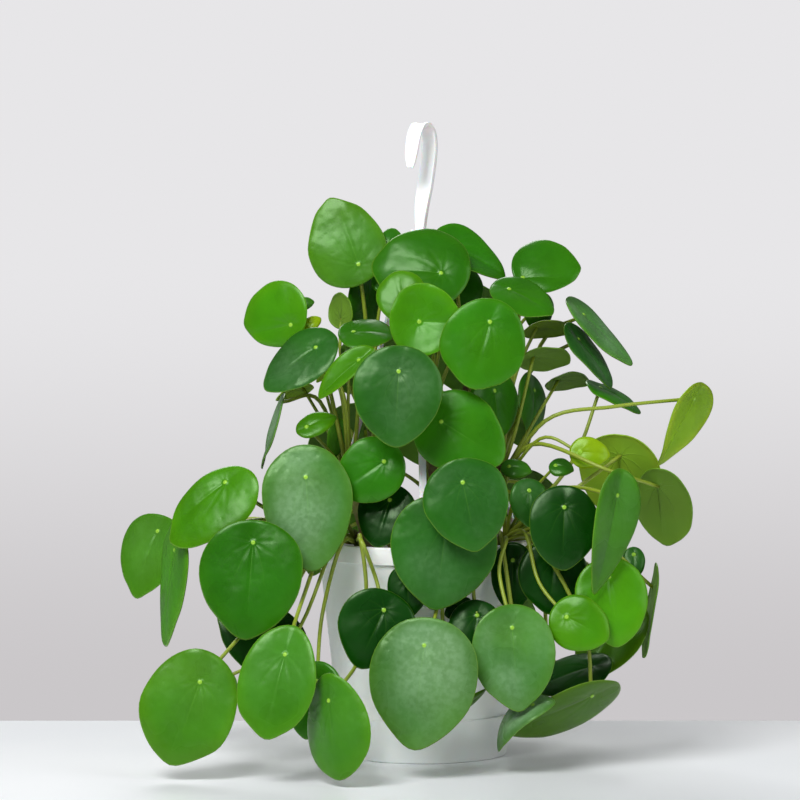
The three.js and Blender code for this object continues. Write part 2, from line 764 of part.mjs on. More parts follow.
/** One ring of the hook: a channel whose web lies inside and whose flanges point outward. */
function hookRing(k) {
  const [forward, z, half, depth] = HOOK_LINE[k];
  const before = HOOK_LINE[Math.max(0, k - 1)];
  const after = HOOK_LINE[Math.min(HOOK_LINE.length - 1, k + 1)];
  const along = new THREE.Vector2(after[0] - before[0], after[1] - before[1]).normalize();
  const outward = HOOK_FORWARD.clone().multiplyScalar(-along.y);
  outward.add(new THREE.Vector3(0, 0, along.x));
  const rib = half - HOOK.flange;
  const outline = [
    [-half, 0],
    [half, 0],
    [half, depth],
    [rib, depth],
    [rib, HOOK.web],
    [-rib, HOOK.web],
    [-rib, depth],
    [-half, depth],
  ];
  const origin = new THREE.Vector3(HUB.x, 0, z).addScaledVector(HOOK_FORWARD, forward);
  return outline.map(([w, m]) =>
    origin.clone().addScaledVector(HOOK_ACROSS, w).addScaledVector(outward, m),
  );
}

/** Direction from the hub to a strap's foot, and how far the lip lies from the hub along it. */
function strapLine(degrees) {
  const turn = THREE.MathUtils.degToRad(degrees);
  const lip = new THREE.Vector3(Math.cos(turn), Math.sin(turn), 0).multiplyScalar(POT.lipRadius);
  const line = lip.sub(new THREE.Vector3(HUB.x, 0, 0));
  return { reach: line.length(), angle: Math.atan2(line.y, line.x) };
}

/** Turns a shape drawn in [distance from the hub, height] into a plate facing round the hub. */
function radialPlate(outline, width, angle) {
  const shape = new THREE.Shape(outline.map(([u, z]) => new THREE.Vector2(u, z)));
  const plate = new THREE.ExtrudeGeometry(shape, { depth: width, bevelEnabled: false });
  plate.translate(0, 0, -width / 2).rotateX(Math.PI / 2).rotateZ(angle);
  return plate.translate(HUB.x, 0, 0);
}

function makeHook() {
  const discTop = HUB.bottomZ + HUB.discThickness;
  const hub = turned([
    [0, HUB.bottomZ],
    [HUB.discRadius - 0.6, HUB.bottomZ],
    [HUB.discRadius, HUB.bottomZ + 0.6],
    [HUB.discRadius, discTop - 0.6],
    [HUB.discRadius - 0.6, discTop],
    [HUB.neckRadius, discTop],
    [HUB.neckRadius, HUB.neckTopZ],
    [0, HUB.neckTopZ],
  ]).translate(HUB.x, 0, 0);
  let hook = toSolid(hub).add(toSolid(loft(HOOK_LINE.map((_, k) => hookRing(k)))));
  for (const degrees of Object.values(STRAPS)) {
    const slot = [
      [6.9, HUB.bottomZ - 1],
      [20, HUB.bottomZ - 1],
      [20, discTop + 1],
      [6.9, discTop + 1],
    ];
    const { angle } = strapLine(degrees);
    hook = hook.subtract(toSolid(radialPlate(slot, STRAP.width + 2 * GAP, angle)));
  }
  return toGeometry(hook);
}

/** A strap: clip under the band, riser past the lip, long slope to the hub, head on the disc. */
function makeStrap(degrees) {
  const { reach, angle } = strapLine(degrees);
  const inner = reach + 0.45;
  const outer = inner + STRAP.thickness;
  const bandZ = POT.height - POT.bandHeight;
  const discTop = HUB.bottomZ + HUB.discThickness;
  const outline = [
    [reach - STRAP.tabReach + 1.5, STRAP.footZ],
    [outer, STRAP.footZ],
    [outer, STRAP.kneeZ + 0.6],
    [9.4, HUB.bottomZ - 1],
    [9.4, STRAP.headZ],
    [6.3, STRAP.headZ],
    [6.3, discTop + GAP],
    [7.7, discTop + GAP],
    [7.7, HUB.bottomZ - 1.6],
    [inner, STRAP.kneeZ],
    [inner, bandZ - 0.4],
    [reach - STRAP.tabReach + 1.5, bandZ - 0.4],
  ];
  return weld(radialPlate(outline, STRAP.width, angle));
}

// ---------------------------------------------------------------- plant

/** Centre of a stem's axis above the soil, from 0 at the soil to 1 at the crown. */
function stemPoint({ foot, crown, sway }, u) {
  const low = new THREE.Vector3(foot[0], foot[1], STEM.soilZ);
  const aside = new THREE.Vector3(sway[0], sway[1], 0).multiplyScalar(Math.sin(Math.PI * u));
  return low.lerp(new THREE.Vector3(...crown), u).add(aside);
}

/** Point of the axis at u by the straight pieces between the stem's rings. */
function onStem(stem, u) {
  const place = u * STEM.steps;
  const below = Math.min(Math.floor(place), STEM.steps - 1);
  const low = stemPoint(stem, below / STEM.steps);
  return low.lerp(stemPoint(stem, (below + 1) / STEM.steps), place - below);
}

function makeStem(stem) {
  const axis = [new THREE.Vector3(stem.foot[0], stem.foot[1], STEM.rootZ)];
  for (let k = 0; k <= STEM.steps; k += 1) {
    axis.push(stemPoint(stem, k / STEM.steps));
  }
  const rings = axis.map((centre, row) => {
    const grown = Math.max(0, row - 1) / STEM.steps;
    const radius = THREE.MathUtils.lerp(STEM.lowRadius, STEM.topRadius, grown);
    return Array.from({ length: STEM.sides }, (_, k) => {
      const turn = (2 * Math.PI * k) / STEM.sides;
      return new THREE.Vector3(radius * Math.cos(turn), radius * Math.sin(turn), 0).add(centre);
    });
  });
  return loft(rings);
}

/** The blade's own axes: side, tip and face directions. */
function bladeAxes({ lean, tilt, tip }) {
  const [c, a, t] = [lean, tilt, tip].map(THREE.MathUtils.degToRad);
  const face = new THREE.Vector3(
    Math.sin(a) * Math.sin(c),
    -Math.cos(a),
    Math.sin(a) * Math.cos(c),
  );
  const depth = -(Math.sin(t) * face.x + Math.cos(t) * face.z) / face.y;
  const toTip = new THREE.Vector3(Math.sin(t), depth, Math.cos(t)).normalize();
  return { side: toTip.clone().cross(face), toTip, face };
}

/** Outline point [aside, along] at an angle from the tip; the nib makes the small point. */
function rimPoint(leaf, angle) {
  const [length, width] = leaf.size;
  const c = Math.cos(angle);
  const aside = (width / 2) * Math.sin(angle) * (1 - leaf.taper * c) - leaf.off;
  const along = length * (0.5 - leaf.seat + 0.5 * c + BLADE.nib * Math.max(0, c) ** 9);
  return [aside, along];
}

/** Bends a flat point of the blade: returns [aside, along, height over the petiole's end]. */
function bend(leaf, aside, along, angle, u) {
  const [length, width] = leaf.size;
  const fold = THREE.MathUtils.degToRad(leaf.fold);
  const curl = THREE.MathUtils.degToRad(leaf.curl);
  const soft = 0.05 * width;
  let height = (Math.hypot(aside, soft) - soft) * Math.sin(fold);
  let bent = along;
  if (leaf.curl !== 0) {
    const radius = length / curl;
    bent = radius * Math.sin(along / radius);
    height -= radius * (1 - Math.cos(along / radius));
  }
  const fromMiddle = along - length * (0.5 - leaf.seat);
  const ring = ((aside + leaf.off) / (width / 2)) ** 2 + (fromMiddle / (length / 2)) ** 2;
  height -= leaf.dome * ring;
  height += BLADE.wave * width * Math.sin(3 * angle + leaf.phase) * u * u;
  return [aside * Math.cos(fold), bent, height];
}

/** Point of the blade's middle surface, u from 0 at the petiole to 1 at the edge. */
function bladePoint(leaf, axes, u, angle) {
  const [rimAside, rimAlong] = rimPoint(leaf, angle);
  const [aside, along, height] = bend(leaf, rimAside * u, rimAlong * u, angle, u);
  const seatHeight = bend(leaf, 0, 0, angle, 0)[2];
  return new THREE.Vector3(...leaf.at)
    .addScaledVector(axes.side, aside)
    .addScaledVector(axes.toTip, along)
    .addScaledVector(axes.face, height - seatHeight);
}

/** A round blade: a middle surface of two rings, thickened alike to both faces. */
function makeBlade(leaf, axes) {
  const inner = BLADE.inner;
  const each = leaf.size[0] < BLADE.smallLength ? 2 : 3; // edge points to each inner point
  const outer = each * inner;
  const middle = [new THREE.Vector3(...leaf.at)];
  for (let k = 0; k < inner; k += 1) {
    middle.push(bladePoint(leaf, axes, 0.5, (2 * Math.PI * k) / inner));
  }
  for (let k = 0; k < outer; k += 1) {
    middle.push(bladePoint(leaf, axes, 1, (2 * Math.PI * k) / outer));
  }
  const faces = [];
  for (let k = 0; k < inner; k += 1) {
    const [a, b] = [1 + k, 1 + ((k + 1) % inner)];
    const rim = (step) => 1 + inner + ((each * k + step) % outer);
    const turn = Math.ceil(each / 2);
    faces.push([0, b, a], [a, b, rim(turn)]);
    for (let step = 0; step < each; step += 1) {
      faces.push([step < turn ? a : b, rim(step + 1), rim(step)]);
    }
  }
  const flat = new THREE.BufferGeometry().setFromPoints(middle);
  flat.setIndex(faces.flat());
  flat.computeVertexNormals();
  const normals = flat.attributes.normal;
  const layers = [0.5, -0.5].map((half) =>
    middle.map((p, k) => {
      const lift = new THREE.Vector3().fromBufferAttribute(normals, k);
      return p.clone().addScaledVector(lift, half * BLADE.thickness);
    }),
  );
  const under = middle.length;
  const index = faces.flat();
  faces.forEach(([a, b, c]) => index.push(under + a, under + c, under + b));
  for (let k = 0; k < outer; k += 1) {
    const [a, b] = [1 + inner + k, 1 + inner + ((k + 1) % outer)];
    index.push(a, b, under + b, a, under + b, under + a);
  }
  const blade = new THREE.BufferGeometry().setFromPoints(layers.flat());
  blade.setIndex(index);
  return blade;
}

/** Rings of a round rod along points, turned as little as can be; the last one faces endFace. */
function rodRings(points, radius, sides, endFace) {
  const last = points.length - 1;
  const along = points.map((_, k) =>
    points[Math.min(k + 1, last)].clone().sub(points[Math.max(k - 1, 0)]).normalize(),
  );
  along[last] = endFace.clone().multiplyScalar(Math.sign(endFace.dot(along[last])));
  const side = new THREE.Vector3(1, 0, 0).cross(along[0]).normalize();
  return points.map((centre, k) => {
    side.addScaledVector(along[k], -side.dot(along[k])).normalize();
    const up = along[k].clone().cross(side);
    return Array.from({ length: sides }, (_, n) => {
      const turn = (2 * Math.PI * n) / sides;
      const point = centre.clone().addScaledVector(side, radius * Math.cos(turn));
      return point.addScaledVector(up, radius * Math.sin(turn));
    });
  });
}

/** The leaf's stalk, from inside the stem to the middle of the blade's thickness. */
function makePetiole(stem, leaf, axes) {
  const bends = leaf.via.map((p) => new THREE.Vector3(...p));
  const start = onStem(stem, leaf.joint);
  const outward = bends[0].clone().sub(start).setZ(0).normalize();
  start.addScaledVector(outward, PETIOLE.root);
  const end = new THREE.Vector3(...leaf.at);
  const path = new THREE.CatmullRomCurve3([start, ...bends, end], false, "catmullrom");
  const points = path.getPoints(PETIOLE.steps * (bends.length + 1));
  return loft(rodRings(points, PETIOLE.radius, PETIOLE.sides, axes.face));
}

/** A whole stem with its petioles and blades grown together. */
function makeLeafyStem(name, firstPhase) {
  const stem = STEMS[name];
  const pieces = [toSolid(makeStem(stem))];
  Object.values(LEAVES[name]).forEach((row, k) => {
    const leaf = { ...LEAF, ...row, phase: 2.4 * (firstPhase + k) };
    const axes = bladeAxes(leaf);
    const stalk = toSolid(makePetiole(stem, leaf, axes));
    pieces.push(stalk.add(toSolid(makeBlade(leaf, axes))));
  });
  return toGeometry(join(pieces));
}

// ---------------------------------------------------------------- the object

const plant = new THREE.Group();

function addPiece(name, geometry, finish) {
  const mesh = new THREE.Mesh(geometry, finish.clone());
  mesh.name = name;
  plant.add(mesh);
}

addPiece("saucer", makeSaucer(), FINISH.saucer);
addPiece("pot", makePot(), FINISH.pot);
addPiece("soil", makeSoil(), FINISH.soil);
addPiece("hanger_hook", makeHook(), FINISH.hook);
for (const [side, degrees] of Object.entries(STRAPS)) {
  addPiece(`hanger_strap_${side}`, makeStrap(degrees), FINISH.strap);
}
let phase = 0;
for (const name of Object.keys(LEAVES)) {
  addPiece(`leafy_stem_${name}`, makeLeafyStem(name, phase), FINISH.plant);
  phase += Object.keys(LEAVES[name]).length;
}

export default plant;
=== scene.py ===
"""Pilea in a white hanging pot with its saucer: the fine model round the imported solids.

Metres, +Z up, seen along +Y. Tables of leaves and stems are in millimetres.
"""
import logging
import math
import random
from dataclasses import dataclass, field
from enum import Enum
from typing import Callable, Sequence

import bmesh
import bpy
from mathutils import Matrix, Vector, noise


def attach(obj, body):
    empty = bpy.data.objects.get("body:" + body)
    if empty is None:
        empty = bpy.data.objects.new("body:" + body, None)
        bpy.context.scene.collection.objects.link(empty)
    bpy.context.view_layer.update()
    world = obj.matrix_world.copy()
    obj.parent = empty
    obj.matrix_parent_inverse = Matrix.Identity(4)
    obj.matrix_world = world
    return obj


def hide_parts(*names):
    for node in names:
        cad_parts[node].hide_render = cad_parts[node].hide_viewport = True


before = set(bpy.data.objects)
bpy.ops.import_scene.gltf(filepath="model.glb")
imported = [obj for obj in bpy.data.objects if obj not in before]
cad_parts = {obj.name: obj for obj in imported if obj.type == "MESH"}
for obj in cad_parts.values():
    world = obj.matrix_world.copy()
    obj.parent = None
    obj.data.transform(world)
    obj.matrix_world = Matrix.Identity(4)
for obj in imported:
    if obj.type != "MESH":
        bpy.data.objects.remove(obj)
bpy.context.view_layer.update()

LOG = logging.getLogger("pilea")
MM = 0.001
BODY = "root"
Place = Callable[[int, int], tuple]
Rgb = tuple[int, int, int]


def linear(srgb: Sequence[int]) -> tuple[float, float, float, float]:
    """Turns an 8-bit display colour into the linear colour that shaders take.

    Args:
        srgb: Red, green and blue from 0 to 255.

    Returns:
        The linear colour with alpha 1.
    """
    def one(value: float) -> float:
        """Linear value of one channel."""
        part = value / 255
        return part / 12.92 if part <= 0.04045 else ((part + 0.055) / 1.055) ** 2.4
    red, green, blue = (one(v) for v in srgb)
    return (red, green, blue, 1.0)


class Tone(Enum):
    """Leaf face: its display colour, and how much painted sheen lies on it, a pale film that
    stands in for the soft light's reflection.
    """

    BRIGHT = ((56, 120, 4), 0.0)
    MID = ((38, 104, 6), 0.0)
    FRESH = ((54, 116, 12), 0.12)
    DARK = ((44, 100, 16), 0.05)
    # Painted shade: a near-black green for the leaves that sit deep in the plant's shadow.
    DEEP_SHADE = ((6, 54, 3), 0.0)
    OLIVE = ((56, 100, 8), 0.0)
    BLUE = ((24, 84, 10), 0.35)
    GREY = ((52, 110, 32), 1.0)
    LIME = ((122, 166, 14), 0.0)

    @property
    def colour(self) -> tuple[int, int, int]:
        """Display colour of the face."""
        return self.value[0]

    @property
    def painted_sheen_share(self) -> float:
        """Share of painted sheen, from 0 to 1."""
        return self.value[1]


class Pole(Enum):
    """How the ends of a wrapped sheet are closed."""

    OPEN = "open"
    CAPPED = "capped"


# ---------------------------------------------------------------- shapes


def wrapped_sheet(rows: int, columns: int, place: Place, pole: Pole,
                  layers: Sequence[str] = ()) -> bmesh.types.BMesh:
    """Wraps a grid round into a tube, a disc or a body of revolution.

    Args:
        rows: Number of steps along the sheet.
        columns: Number of steps round it.
        place: Gives the point of a row and a column.
        pole: Whether the open ends are closed with a face.
        layers: Names of number layers; place gives their values after the point.

    Returns:
        The welded sheet with its faces turned one way.
    """
    bm = bmesh.new()
    bmesh.ops.create_grid(bm, x_segments=rows, y_segments=columns, size=0.5)
    keys = [bm.verts.layers.float.new(name) for name in layers]
    for vert in bm.verts:
        row = round((vert.co.x + 0.5) * rows)
        column = round((vert.co.y + 0.5) * columns)
        vert.co, *values = place(row, column % columns)
        for key, value in zip(keys, values):
            vert[key] = value
    bmesh.ops.remove_doubles(bm, verts=bm.verts, dist=1e-7)
    bmesh.ops.dissolve_degenerate(bm, edges=bm.edges, dist=1e-8)
    if pole is Pole.CAPPED:
        rim = [edge for edge in bm.edges if edge.is_boundary]
        bmesh.ops.holes_fill(bm, edges=rim, sides=columns)
    bmesh.ops.recalc_face_normals(bm, faces=bm.faces)
    return bm


def turned(profile: Sequence[tuple[float, float]], sides: int) -> bmesh.types.BMesh:
    """Spins a profile round the upright axis.

    Args:
        profile: Radius and height of each point in millimetres, from axis to axis.
        sides: Number of steps round.

    Returns:
        The closed body.
    """
    bm = bmesh.new()
    points = [bm.verts.new((r * MM, 0.0, z * MM)) for r, z in profile]
    edges = [bm.edges.new(pair) for pair in zip(points, points[1:])]
    bmesh.ops.spin(bm, geom=points + edges, cent=(0, 0, 0), axis=(0, 0, 1),
                   angle=2 * math.pi, steps=sides, use_merge=True)
    bmesh.ops.remove_doubles(bm, verts=bm.verts, dist=1e-6)
    bmesh.ops.recalc_face_normals(bm, faces=bm.faces)
    return bm


def rounded(profile: Sequence[tuple[float, float, float]], steps: int = 5
            ) -> list[tuple[float, float]]:
    """Rounds the corners of a profile with small arcs.

    Args:
        profile: Radius, height and corner rounding of each point.
        steps: Pieces of each arc.

    Returns:
        The profile's points with the arcs in.
    """
    points: list[tuple[float, float]] = []
    for k, (r, z, ease) in enumerate(profile):
        here = Vector((r, z))
        if ease == 0 or k in (0, len(profile) - 1):
            points.append((r, z))
            continue
        back = Vector(profile[k - 1][:2]) - here
        ahead = Vector(profile[k + 1][:2]) - here
        start = here + back.normalized() * min(ease, back.length * 0.45)
        end = here + ahead.normalized() * min(ease, ahead.length * 0.45)
        for n in range(steps + 1):
            t = n / steps
            point = start * (1 - t) ** 2 + here * (2 * t * (1 - t)) + end * t * t
            points.append((point.x, point.y))
    return points


def curve_points(controls: Sequence[Vector], steps: int) -> list[Vector]:
    """Smooth line through control points.

    Args:
        controls: Points that the line goes through.
        steps: Pieces between one control point and the next.

    Returns:
        The points of the line.
    """
    whole = [controls[0] * 2 - controls[1], *controls, controls[-1] * 2 - controls[-2]]
    line: list[Vector] = []
    for a, b, c, d in zip(whole, whole[1:], whole[2:], whole[3:]):
        for k in range(steps):
            t = k / steps
            line.append((b * 2 + (c - a) * t + (a * 2 - b * 5 + c * 4 - d) * t * t
                         + (b * 3 - a - c * 3 + d) * t ** 3) * 0.5)
    return line + [controls[-1].copy()]


def rod(points: Sequence[Vector], radii: Sequence[float], sides: int,
        end_face: Vector | None = None) -> bmesh.types.BMesh:
    """Round rod along a line, turned as little as can be.

    Args:
        points: The axis.
        radii: Radius at each point of the axis.
        sides: Sides of the rod.
        end_face: Direction that the last ring faces, if not along the rod.

    Returns:
        The closed rod.
    """
    last = len(points) - 1
    along = [(points[min(k + 1, last)] - points[max(k - 1, 0)]).normalized()
             for k in range(last + 1)]
    if end_face is not None:
        along[last] = end_face
    side = Vector((1, 0, 0)).cross(along[0]).normalized()
    rings: list[list[Vector]] = []
    for centre, direction, radius in zip(points, along, radii):
        side = (side - direction * side.dot(direction)).normalized()
        up = direction.cross(side)
        turns = [2 * math.pi * k / sides for k in range(sides)]
        rings.append([centre + (side * math.cos(a) + up * math.sin(a)) * radius for a in turns])
    return wrapped_sheet(last, sides, lambda row, column: (rings[row][column],), Pole.CAPPED)


class Workpiece:
    """One named piece of the object: its mesh, its finishes and its place in the frame."""

    def __init__(self, name: str) -> None:
        """Starts an empty piece."""
        self.name = name
        self.mesh = bpy.data.meshes.new(name)
        self.bm = bmesh.new()

    def add(self, part: bmesh.types.BMesh, slot: int = 0) -> None:
        """Moves a part's faces into the piece.

        Args:
            part: The part, which is freed.
            slot: Index of the finish that its faces take.
        """
        for face in part.faces:
            face.material_index = slot
            face.smooth = True
        carrier = bpy.data.meshes.new("carrier")
        part.to_mesh(carrier)
        part.free()
        self.bm.from_mesh(carrier)
        bpy.data.meshes.remove(carrier)

    def finish(self, finishes: Sequence[bpy.types.Material], slot: str,
               nodes: Sequence[str]) -> bpy.types.Object:
        """Makes the object, dresses it and sets it into the frame.

        Args:
            finishes: Materials of the piece.
            slot: The record's material slot; not used.
            nodes: CAD nodes that the piece stands for.

        Returns:
            The finished object.
        """
        self.bm.to_mesh(self.mesh)
        self.bm.free()
        for material in finishes:
            self.mesh.materials.append(material)
        piece = bpy.data.objects.new(self.name, self.mesh)
        bpy.context.scene.collection.objects.link(piece)
        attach(piece, BODY)
        if nodes:
            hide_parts(*nodes)
        LOG.info("%s: %d faces", self.name, len(self.mesh.polygons))
        return piece


# ---------------------------------------------------------------- finishes


class Shader:
    """Node tree of one material, with short calls for the nodes that the finishes use."""

    def __init__(self, name: str) -> None:
        """Starts a material with a principled shader."""
        self.material = bpy.data.materials.new(name)
        self.material.use_nodes = True
        self.tree = self.material.node_tree
        self.surface = self.tree.nodes["Principled BSDF"]

    def link(self, source: bpy.types.NodeSocket, target: bpy.types.NodeSocket) -> None:
        """Joins two sockets."""
        self.tree.links.new(source, target)

    def put(self, value: object, target: bpy.types.NodeSocket) -> None:
        """Links a socket to a target, or sets the target to a plain value."""
        if isinstance(value, bpy.types.NodeSocket):
            self.link(value, target)
        else:
            target.default_value = value

    def sums(self, operation: str, *values: object, clamp: bool = False
             ) -> bpy.types.NodeSocket:
        """Math node.

        Args:
            operation: Blender's name of the operation.
            values: Sockets or numbers.
            clamp: Keeps the result from 0 to 1.

        Returns:
            The result.
        """
        node = self.tree.nodes.new("ShaderNodeMath")
        node.operation = operation
        node.use_clamp = clamp
        for value, target in zip(values, node.inputs):
            self.put(value, target)
        return node.outputs[0]

    def ramp(self, value: object, low: float, high: float, start: float = 0.0,
             end: float = 1.0) -> bpy.types.NodeSocket:
        """Smooth step from start to end while the value goes from low to high."""
        node = self.tree.nodes.new("ShaderNodeMapRange")
        node.interpolation_type = "SMOOTHSTEP"
        for key, number in (("From Min", low), ("From Max", high), ("To Min", start),
                            ("To Max", end)):
            node.inputs[key].default_value = number
        self.put(value, node.inputs["Value"])
        return node.outputs["Result"]

    def mix(self, factor: object, first: object, second: object, blend: str = "MIX"
            ) -> bpy.types.NodeSocket:
        """Mixes two colours by a factor."""
        node = self.tree.nodes.new("ShaderNodeMix")
        node.data_type = "RGBA"
        node.blend_type = blend
        self.put(factor, node.inputs[0])
        self.put(first, node.inputs[6])
        self.put(second, node.inputs[7])
        return node.outputs[2]

    def place(self) -> bpy.types.NodeSocket:
        """Object coordinates."""
        return self.tree.nodes.new("ShaderNodeTexCoord").outputs["Object"]

    def attribute(self, name: str) -> bpy.types.Node:
        """The piece's own attribute of that name."""
        node = self.tree.nodes.new("ShaderNodeAttribute")
        node.attribute_name = name
        return node

    def speckle(self, where: bpy.types.NodeSocket, scale: float, detail: float = 3.0
                ) -> bpy.types.NodeSocket:
        """Noise from 0 to 1."""
        node = self.tree.nodes.new("ShaderNodeTexNoise")
        node.inputs["Scale"].default_value = scale
        node.inputs["Detail"].default_value = detail
        self.link(where, node.inputs["Vector"])
        return node.outputs["Fac"]

    def cells(self, where: bpy.types.NodeSocket, scale: float) -> bpy.types.NodeSocket:
        """Soft cell pattern: distance to the nearest cell's middle."""
        node = self.tree.nodes.new("ShaderNodeTexVoronoi")
        node.feature = "SMOOTH_F1"
        node.inputs["Scale"].default_value = scale
        self.link(where, node.inputs["Vector"])
        return node.outputs["Distance"]

    def relief(self, height: bpy.types.NodeSocket, distance: float, strength: float = 1.0
               ) -> None:
        """Bumps the surface by a height."""
        node = self.tree.nodes.new("ShaderNodeBump")
        node.inputs["Strength"].default_value = strength
        node.inputs["Distance"].default_value = distance
        self.link(height, node.inputs["Height"])
        self.link(node.outputs["Normal"], self.surface.inputs["Normal"])

    def set(self, **values: object) -> None:
        """Sets or links sockets of the principled shader, with _ for a space."""
        for key, value in values.items():
            self.put(value, self.surface.inputs[key.replace("_", " ")])


@dataclass(frozen=True)
class Finish:
    """Look of one material."""

    name: str

    def build(self) -> bpy.types.Material:
        """Makes the material.

        Returns:
            The material.
        """
        shader = Shader(self.name)
        self.paint(shader, shader.place())
        return shader.material

    def paint(self, s: Shader, place: bpy.types.NodeSocket) -> None:
        """Sets the colour, gloss and relief.

        Args:
            s: The material's shader.
            place: Object coordinates.
        """
        raise NotImplementedError


@dataclass(frozen=True)
class BladeFinish(Finish):
    """Waxy leaf blade: pale dot, fine veins that spread from it, thin pale margin."""

    name: str = "blade_upper"
    dot: Rgb = (150, 200, 62)
    vein: Rgb = (104, 160, 52)
    margin: Rgb = (116, 158, 44)
    # Pale film painted over the blade as its sheen: a painted reflection of the soft light.
    painted_sheen: Rgb = (142, 178, 138)
    pale: Rgb = (122, 156, 58)
    # Factors on the colour where the blade is sunnier, and on what it reflects.
    sun: tuple[float, float, float, float] = (1.5, 1.12, 0.6, 1.0)
    sheen: tuple[float, float, float, float] = (0.7, 1.0, 0.6, 1.0)
    under: bool = False
    roughness: float = 0.29
    painted_sheen_cover: float = 0.44
    vein_cover: float = 0.42
    margin_cover: float = 0.45
    groove_depth: float = -0.2
    # Angle from the tip, bend per millimetre, strength of each pair of main veins.
    veins: tuple[tuple[float, float, float], ...] = (
        (0.0, 0.0, 1.0), (0.62, -0.008, 0.5), (1.25, -0.012, 0.4),
        (1.95, -0.016, 0.35), (2.65, -0.016, 0.3),
    )

    def spread(self, s: Shader, place: bpy.types.NodeSocket
               ) -> tuple[bpy.types.NodeSocket, bpy.types.NodeSocket, bpy.types.NodeSocket]:
        """Veins that spread from the dot.

        Args:
            s: The material's shader.
            place: Object coordinates.

        Returns:
            The distance from the dot in millimetres, the vein lines, the grooves round them.
        """
        aside = s.sums("ABSOLUTE", s.attribute("aside").outputs["Fac"])
        along = s.attribute("along").outputs["Fac"]
        reach = s.sums("SQRT", s.sums("ADD", s.sums("MULTIPLY", aside, aside),
                                      s.sums("MULTIPLY", along, along)))
        angle = s.sums("ARCTAN2", aside, along)
        wander = s.sums("MULTIPLY_ADD", s.speckle(place, 45.0, 2.0), 0.3, -0.15)
        lines: object = 0.0
        grooves: object = 0.0
        for turn, bend, strength in self.veins:
            swing = s.sums("SUBTRACT", angle, s.sums("MULTIPLY_ADD", reach, bend, turn))
            if turn:
                swing = s.sums("ADD", swing, wander)
            off = s.sums("MULTIPLY", reach, s.sums("ABSOLUTE", s.sums("SINE", swing)))
            ahead = s.ramp(s.sums("COSINE", swing), 0.2, 0.6)
            line = s.ramp(off, 0.1, 0.55, strength, 0.0)
            groove = s.ramp(off, 0.0, 2.6, strength, 0.0)
            lines = s.sums("MAXIMUM", lines, s.sums("MULTIPLY", line, ahead))
            grooves = s.sums("MAXIMUM", grooves, s.sums("MULTIPLY", groove, ahead))
        return reach, lines, grooves

    def skin(self, s: Shader, place: bpy.types.NodeSocket, patch: bpy.types.NodeSocket,
             edge: bpy.types.NodeSocket) -> bpy.types.NodeSocket:
        """Colour of the blade between its veins: cloudy, painted sunnier in parts and towards the
        edge, with a painted sheen.

        Args:
            s: The material's shader.
            place: Object coordinates.
            patch: Broad noise that darkens and lightens the blade.
            edge: Share of the way from the dot to the edge.

        Returns:
            The colour.
        """
        fine = s.speckle(place, 260.0, 4.0)
        leaf = s.attribute("tint")
        shade = s.sums("MULTIPLY_ADD", patch, 0.9, 0.55)
        shade = s.sums("MULTIPLY", shade, s.sums("MULTIPLY_ADD", fine, 0.14, 0.93))
        grey = s.tree.nodes.new("ShaderNodeCombineColor")
        for target in grey.inputs:
            s.link(shade, target)
        colour = s.mix(1.0, leaf.outputs["Color"], grey.outputs[0], "MULTIPLY")
        sunny = s.ramp(s.speckle(place, 19.0, 1.0), 0.42, 0.72, 0.0, 0.6)
        sunny = s.sums("MAXIMUM", sunny, s.ramp(edge, 0.7, 1.0, 0.0, 0.7))
        colour = s.mix(sunny, colour, s.mix(1.0, colour, self.sun, "MULTIPLY"))
        # Painted sheen: a pale film in soft patches that stands in for the light's reflection,
        # fainter towards the edge.
        painted_sheen = s.sums("MULTIPLY", s.ramp(s.speckle(place, 16.0, 1.0), 0.36, 0.64, 0.2, 1.0),
                      s.ramp(fine, 0.36, 0.66, 0.8, 1.2))
        painted_sheen = s.sums("MULTIPLY", painted_sheen, s.ramp(edge, 0.55, 0.98, 1.0, 0.3))
        painted_sheen = s.sums("MULTIPLY", painted_sheen, leaf.outputs["Alpha"])
        return s.mix(s.sums("MULTIPLY", painted_sheen, self.painted_sheen_cover), colour, linear(self.painted_sheen))

    def swell(self, s: Shader, place: bpy.types.NodeSocket) -> bpy.types.NodeSocket:
        """Height of the blade's soft waves, with puckers that grow with the tone's share of
        painted sheen.
        """
        crinkle = s.sums("MULTIPLY_ADD", s.attribute("tint").outputs["Alpha"], 0.25, 0.2)
        pucker = s.sums("MULTIPLY", s.cells(place, 170.0), crinkle)
        return s.sums("MULTIPLY_ADD", s.speckle(place, 34.0, 1.0), 1.2, pucker)

    def paint(self, s: Shader, place: bpy.types.NodeSocket) -> None:
        """Sets the colour, gloss and relief, of the face or of the duller underside.

        Args:
            s: The material's shader.
            place: Object coordinates.
        """
        edge = s.attribute("edge").outputs["Fac"]
        patch = s.speckle(place, 26.0, 2.0)
        reach, lines, grooves = self.spread(s, place)
        fade = s.ramp(edge, 0.1, 0.85, 1.0, 0.0)
        lines = s.sums("MULTIPLY", lines, fade)
        colour = self.skin(s, place, patch, edge)
        colour = s.mix(s.sums("MULTIPLY", lines, self.vein_cover), colour,
                       s.mix(0.3, colour, linear(self.vein)))
        colour = s.mix(s.ramp(edge, 0.975, 0.998, 0.0, self.margin_cover), colour,
                       linear(self.margin))
        swell = self.swell(s, place)
        if self.under:
            s.set(Base_Color=s.mix(0.4, colour, linear(self.pale)), Roughness=0.55,
                  Specular_IOR_Level=0.2)
            s.relief(s.sums("MULTIPLY_ADD", lines, 1.2, swell), 0.0007)
            return
        colour = s.mix(s.ramp(reach, 0.8, 1.7, 0.9, 0.0), colour, linear(self.dot))
        s.set(Base_Color=colour, Specular_IOR_Level=0.3, Specular_Tint=self.sheen,
              Roughness=s.sums("MULTIPLY_ADD", patch, 0.2, self.roughness - 0.1))
        grooves = s.sums("MULTIPLY", grooves, fade)
        s.relief(s.sums("MULTIPLY_ADD", grooves, self.groove_depth, swell), 0.0013)


